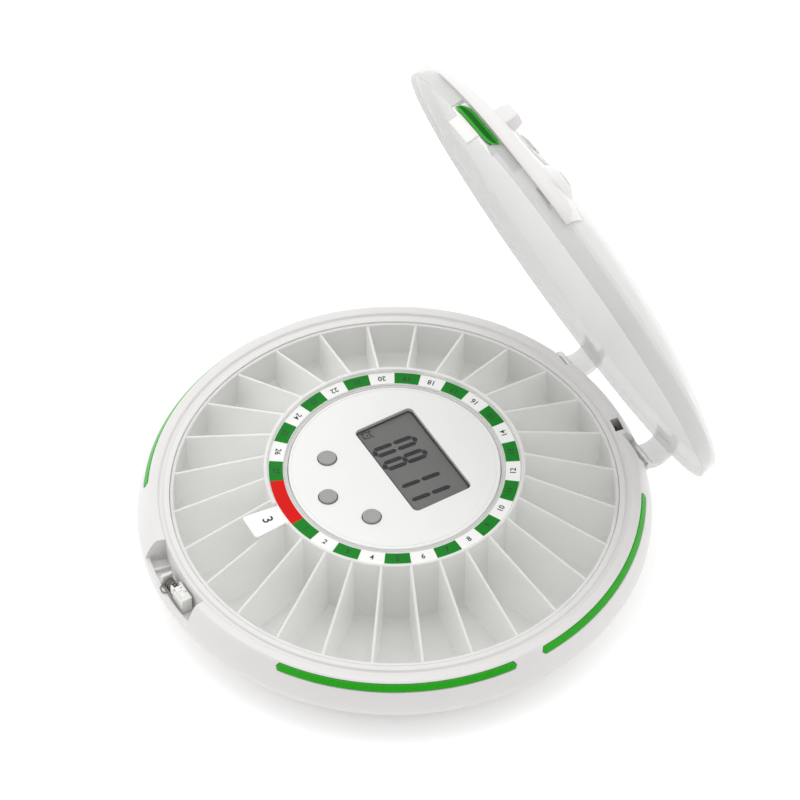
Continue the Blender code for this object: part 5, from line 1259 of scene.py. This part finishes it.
# %% Latch catch
catch = plate(rectangle(4.7, 2.3, 0.6, (0.0, CATCH_Y)), 17.8, 25.2, 0.35)
seat = rod_along_x(2.46, -7.0, -2.7, CATCH_Y, COIL_Z, 40)
slot = block((-7.0, CATCH_Y - 1.5, COIL_Z), (-2.9, CATCH_Y + 1.5, 27.0))
step = block((-2.4, -97.0, 24.4), (4.1, -95.9, 26.0))
dimples = [prism(circle(0.42, (x, y)), 24.7, 26.0) for x, y in ((-1.6, -93.6), (0.9, -92.9))]
frame_groove = flat_ring(
    rectangle(1.9, 1.0, 0.2, (1.6, -94.6)), rectangle(1.6, 0.7, 0.1, (1.6, -94.6)), 24.95, 26.0
)
catch = carved(catch, seat, slot, step, frame_groove, *dimples)
piece("catch_block", catch, NYLON, "catch", "natural_nylon", "latch_catch")
inner, outer = NOTCH_R - 0.2, LIP_INNER + 0.2
rib = turned([(inner, 19.4, 0.2), (outer, 19.4, 0.2), (outer, 17.3), (inner, 17.3)], 258.6, 0.55, 4)
piece("notch_rib", rib, WHITE, *HOUSING)

# %% [markdown]
# ## Underside
# Out of sight in the photograph, but part of the object: a plate with its battery door, screws and feet.

# %% Plate, door, feet and screws
DOOR_HALF = (29.1, 25.9)
FEET = [spot(74.0, azimuth) for azimuth in (-22.0, 22.0, 158.0, 202.0)]

plate_mesh = turned([(0.0, 3.3), (87.9, 3.3, 0.3), (87.9, 1.5, 0.5), (0.0, 1.5)])
door_gap = prism(rectangle(DOOR_HALF[0] + 0.4, DOOR_HALF[1] + 0.4, 0.6), 0.0, 5.0)
sinks = []
for place in SCREWS:
    sinks.append(prism(circle(1.6, place), 0.0, 5.0))
    sinks.append(prism(circle(3.1, place), 0.0, 2.5))
plate_mesh = carved(plate_mesh, door_gap, *sinks)
piece("underside_plate", plate_mesh, WHITE, "base", "white_abs", "base_plate")
door_plate = plate(rectangle(*DOOR_HALF, 0.8), 1.5, 3.3, 0.25)
grooves = [prism(rectangle(7.0 - 0.9 * i, 0.45, 0.4, (0.0, -15.0 - 1.9 * i)), 1.0, 2.0) for i in range(4)]
arrow = prism([(-2.6, -12.4), (2.6, -12.4), (0.0, -9.6)], 1.0, 1.9)
finger_cut = prism(rectangle(8.6, 1.2, 1.0, (0.0, -25.6)), 1.0, 2.4)
door_plate = carved(door_plate, *grooves, arrow, finger_cut)
piece("battery_hatch", door_plate, WHITE, "battery_door", "white_abs", "battery_door")


def foot_mesh(centre):
    return turned([(0.0, 1.2), (6.0, 1.2, 0.1), (6.0, 0.0, 0.5), (0.0, 0.0)], steps=64, centre=centre)


for number, place in enumerate(FEET, 1):
    piece(f"foot_pad_{number}", foot_mesh(place), RUBBER, "base", "dark_rubber", f"foot_{number}")
piece("hatch_foot_pad", foot_mesh((0.0, 0.0)), RUBBER, "battery_door", "dark_rubber", "door_foot")

SCREW = [(0.0, 5.8), (1.3, 5.15, 0.2), (1.3, 2.2), (2.8, 2.2, 0.1), (2.6, 1.65, 0.3), (0.0, 1.65)]
for number, place in enumerate(SCREWS, 1):
    screw = turned(SCREW, steps=40, centre=place)
    cross = [prism(rectangle(*half, 0.1, place), 1.0, 2.0) for half in ((1.5, 0.3), (0.3, 1.5))]
    piece(
        f"plate_screw_{number}", carved(screw, *cross), ZINC, "base", "plated_zinc", f"base_screw_{number}"
    )

# %% [markdown]
# ## Batteries
# Four AA cells lie side by side, each the other way round to its neighbour. A sleeve covers the can and
# leaves the two metal ends bare.

# %% Cells
def cell_part(profile, number):
    """A turned part of a cell, laid along Y in its place."""
    mesh = turned(profile, steps=64)
    facing = 1 if number % 2 else -1
    move = Matrix.Translation(Vector(((number - 1.5) * 14.6, -facing * 0.6, 10.7)) * MM)
    mesh.transform(move @ Matrix.Rotation(math.radians(-90.0 * facing), 4, "X"))
    return clean(mesh)


CAN = [(0.0, 25.95), (2.6, 25.95, 0.4), (2.6, 24.9, 0.3), (6.7, 24.6, 0.4), (6.7, -24.6, 0.4), (0.0, -24.7)]
WRAP = [(7.1, 24.7, 0.3), (6.2, 24.75), (6.2, -24.7), (7.1, -24.7, 0.3)]
for number in range(4):
    can, wrap, node = cell_part(CAN, number), cell_part(WRAP, number), f"battery_{number + 1}"
    piece(f"cell_can_{number + 1}", can, ZINC, "base", "battery_sleeve", node)
    piece(f"cell_sleeve_{number + 1}", wrap, SLEEVE, "base", "battery_sleeve", node)

# %% [markdown]
# ## Parts that keep their CAD shape
# Gears, motor, board and the small parts inside already have the right shape, so they only get a finish.

# %% Finishes for the CAD's own parts
KEPT = {
    "battery_box": NYLON, "button_mat": BUTTON, "buzzer": BLACK, "circuit_board": BOARD,
    "contact_back": STEEL, "contact_front": STEEL, "controller_chip": BLACK, "display_frame": BLACK,
    "drive_motor": ZINC, "drive_ring": ACETAL, "idler_gear": ACETAL, "motor_pinion": ACETAL,
    "lock_cam": ZINC
}
for name, material in KEPT.items():
    for holder in nodes[name].material_slots:
        holder.material = material
print(len(KEPT), "CAD parts keep their shape")
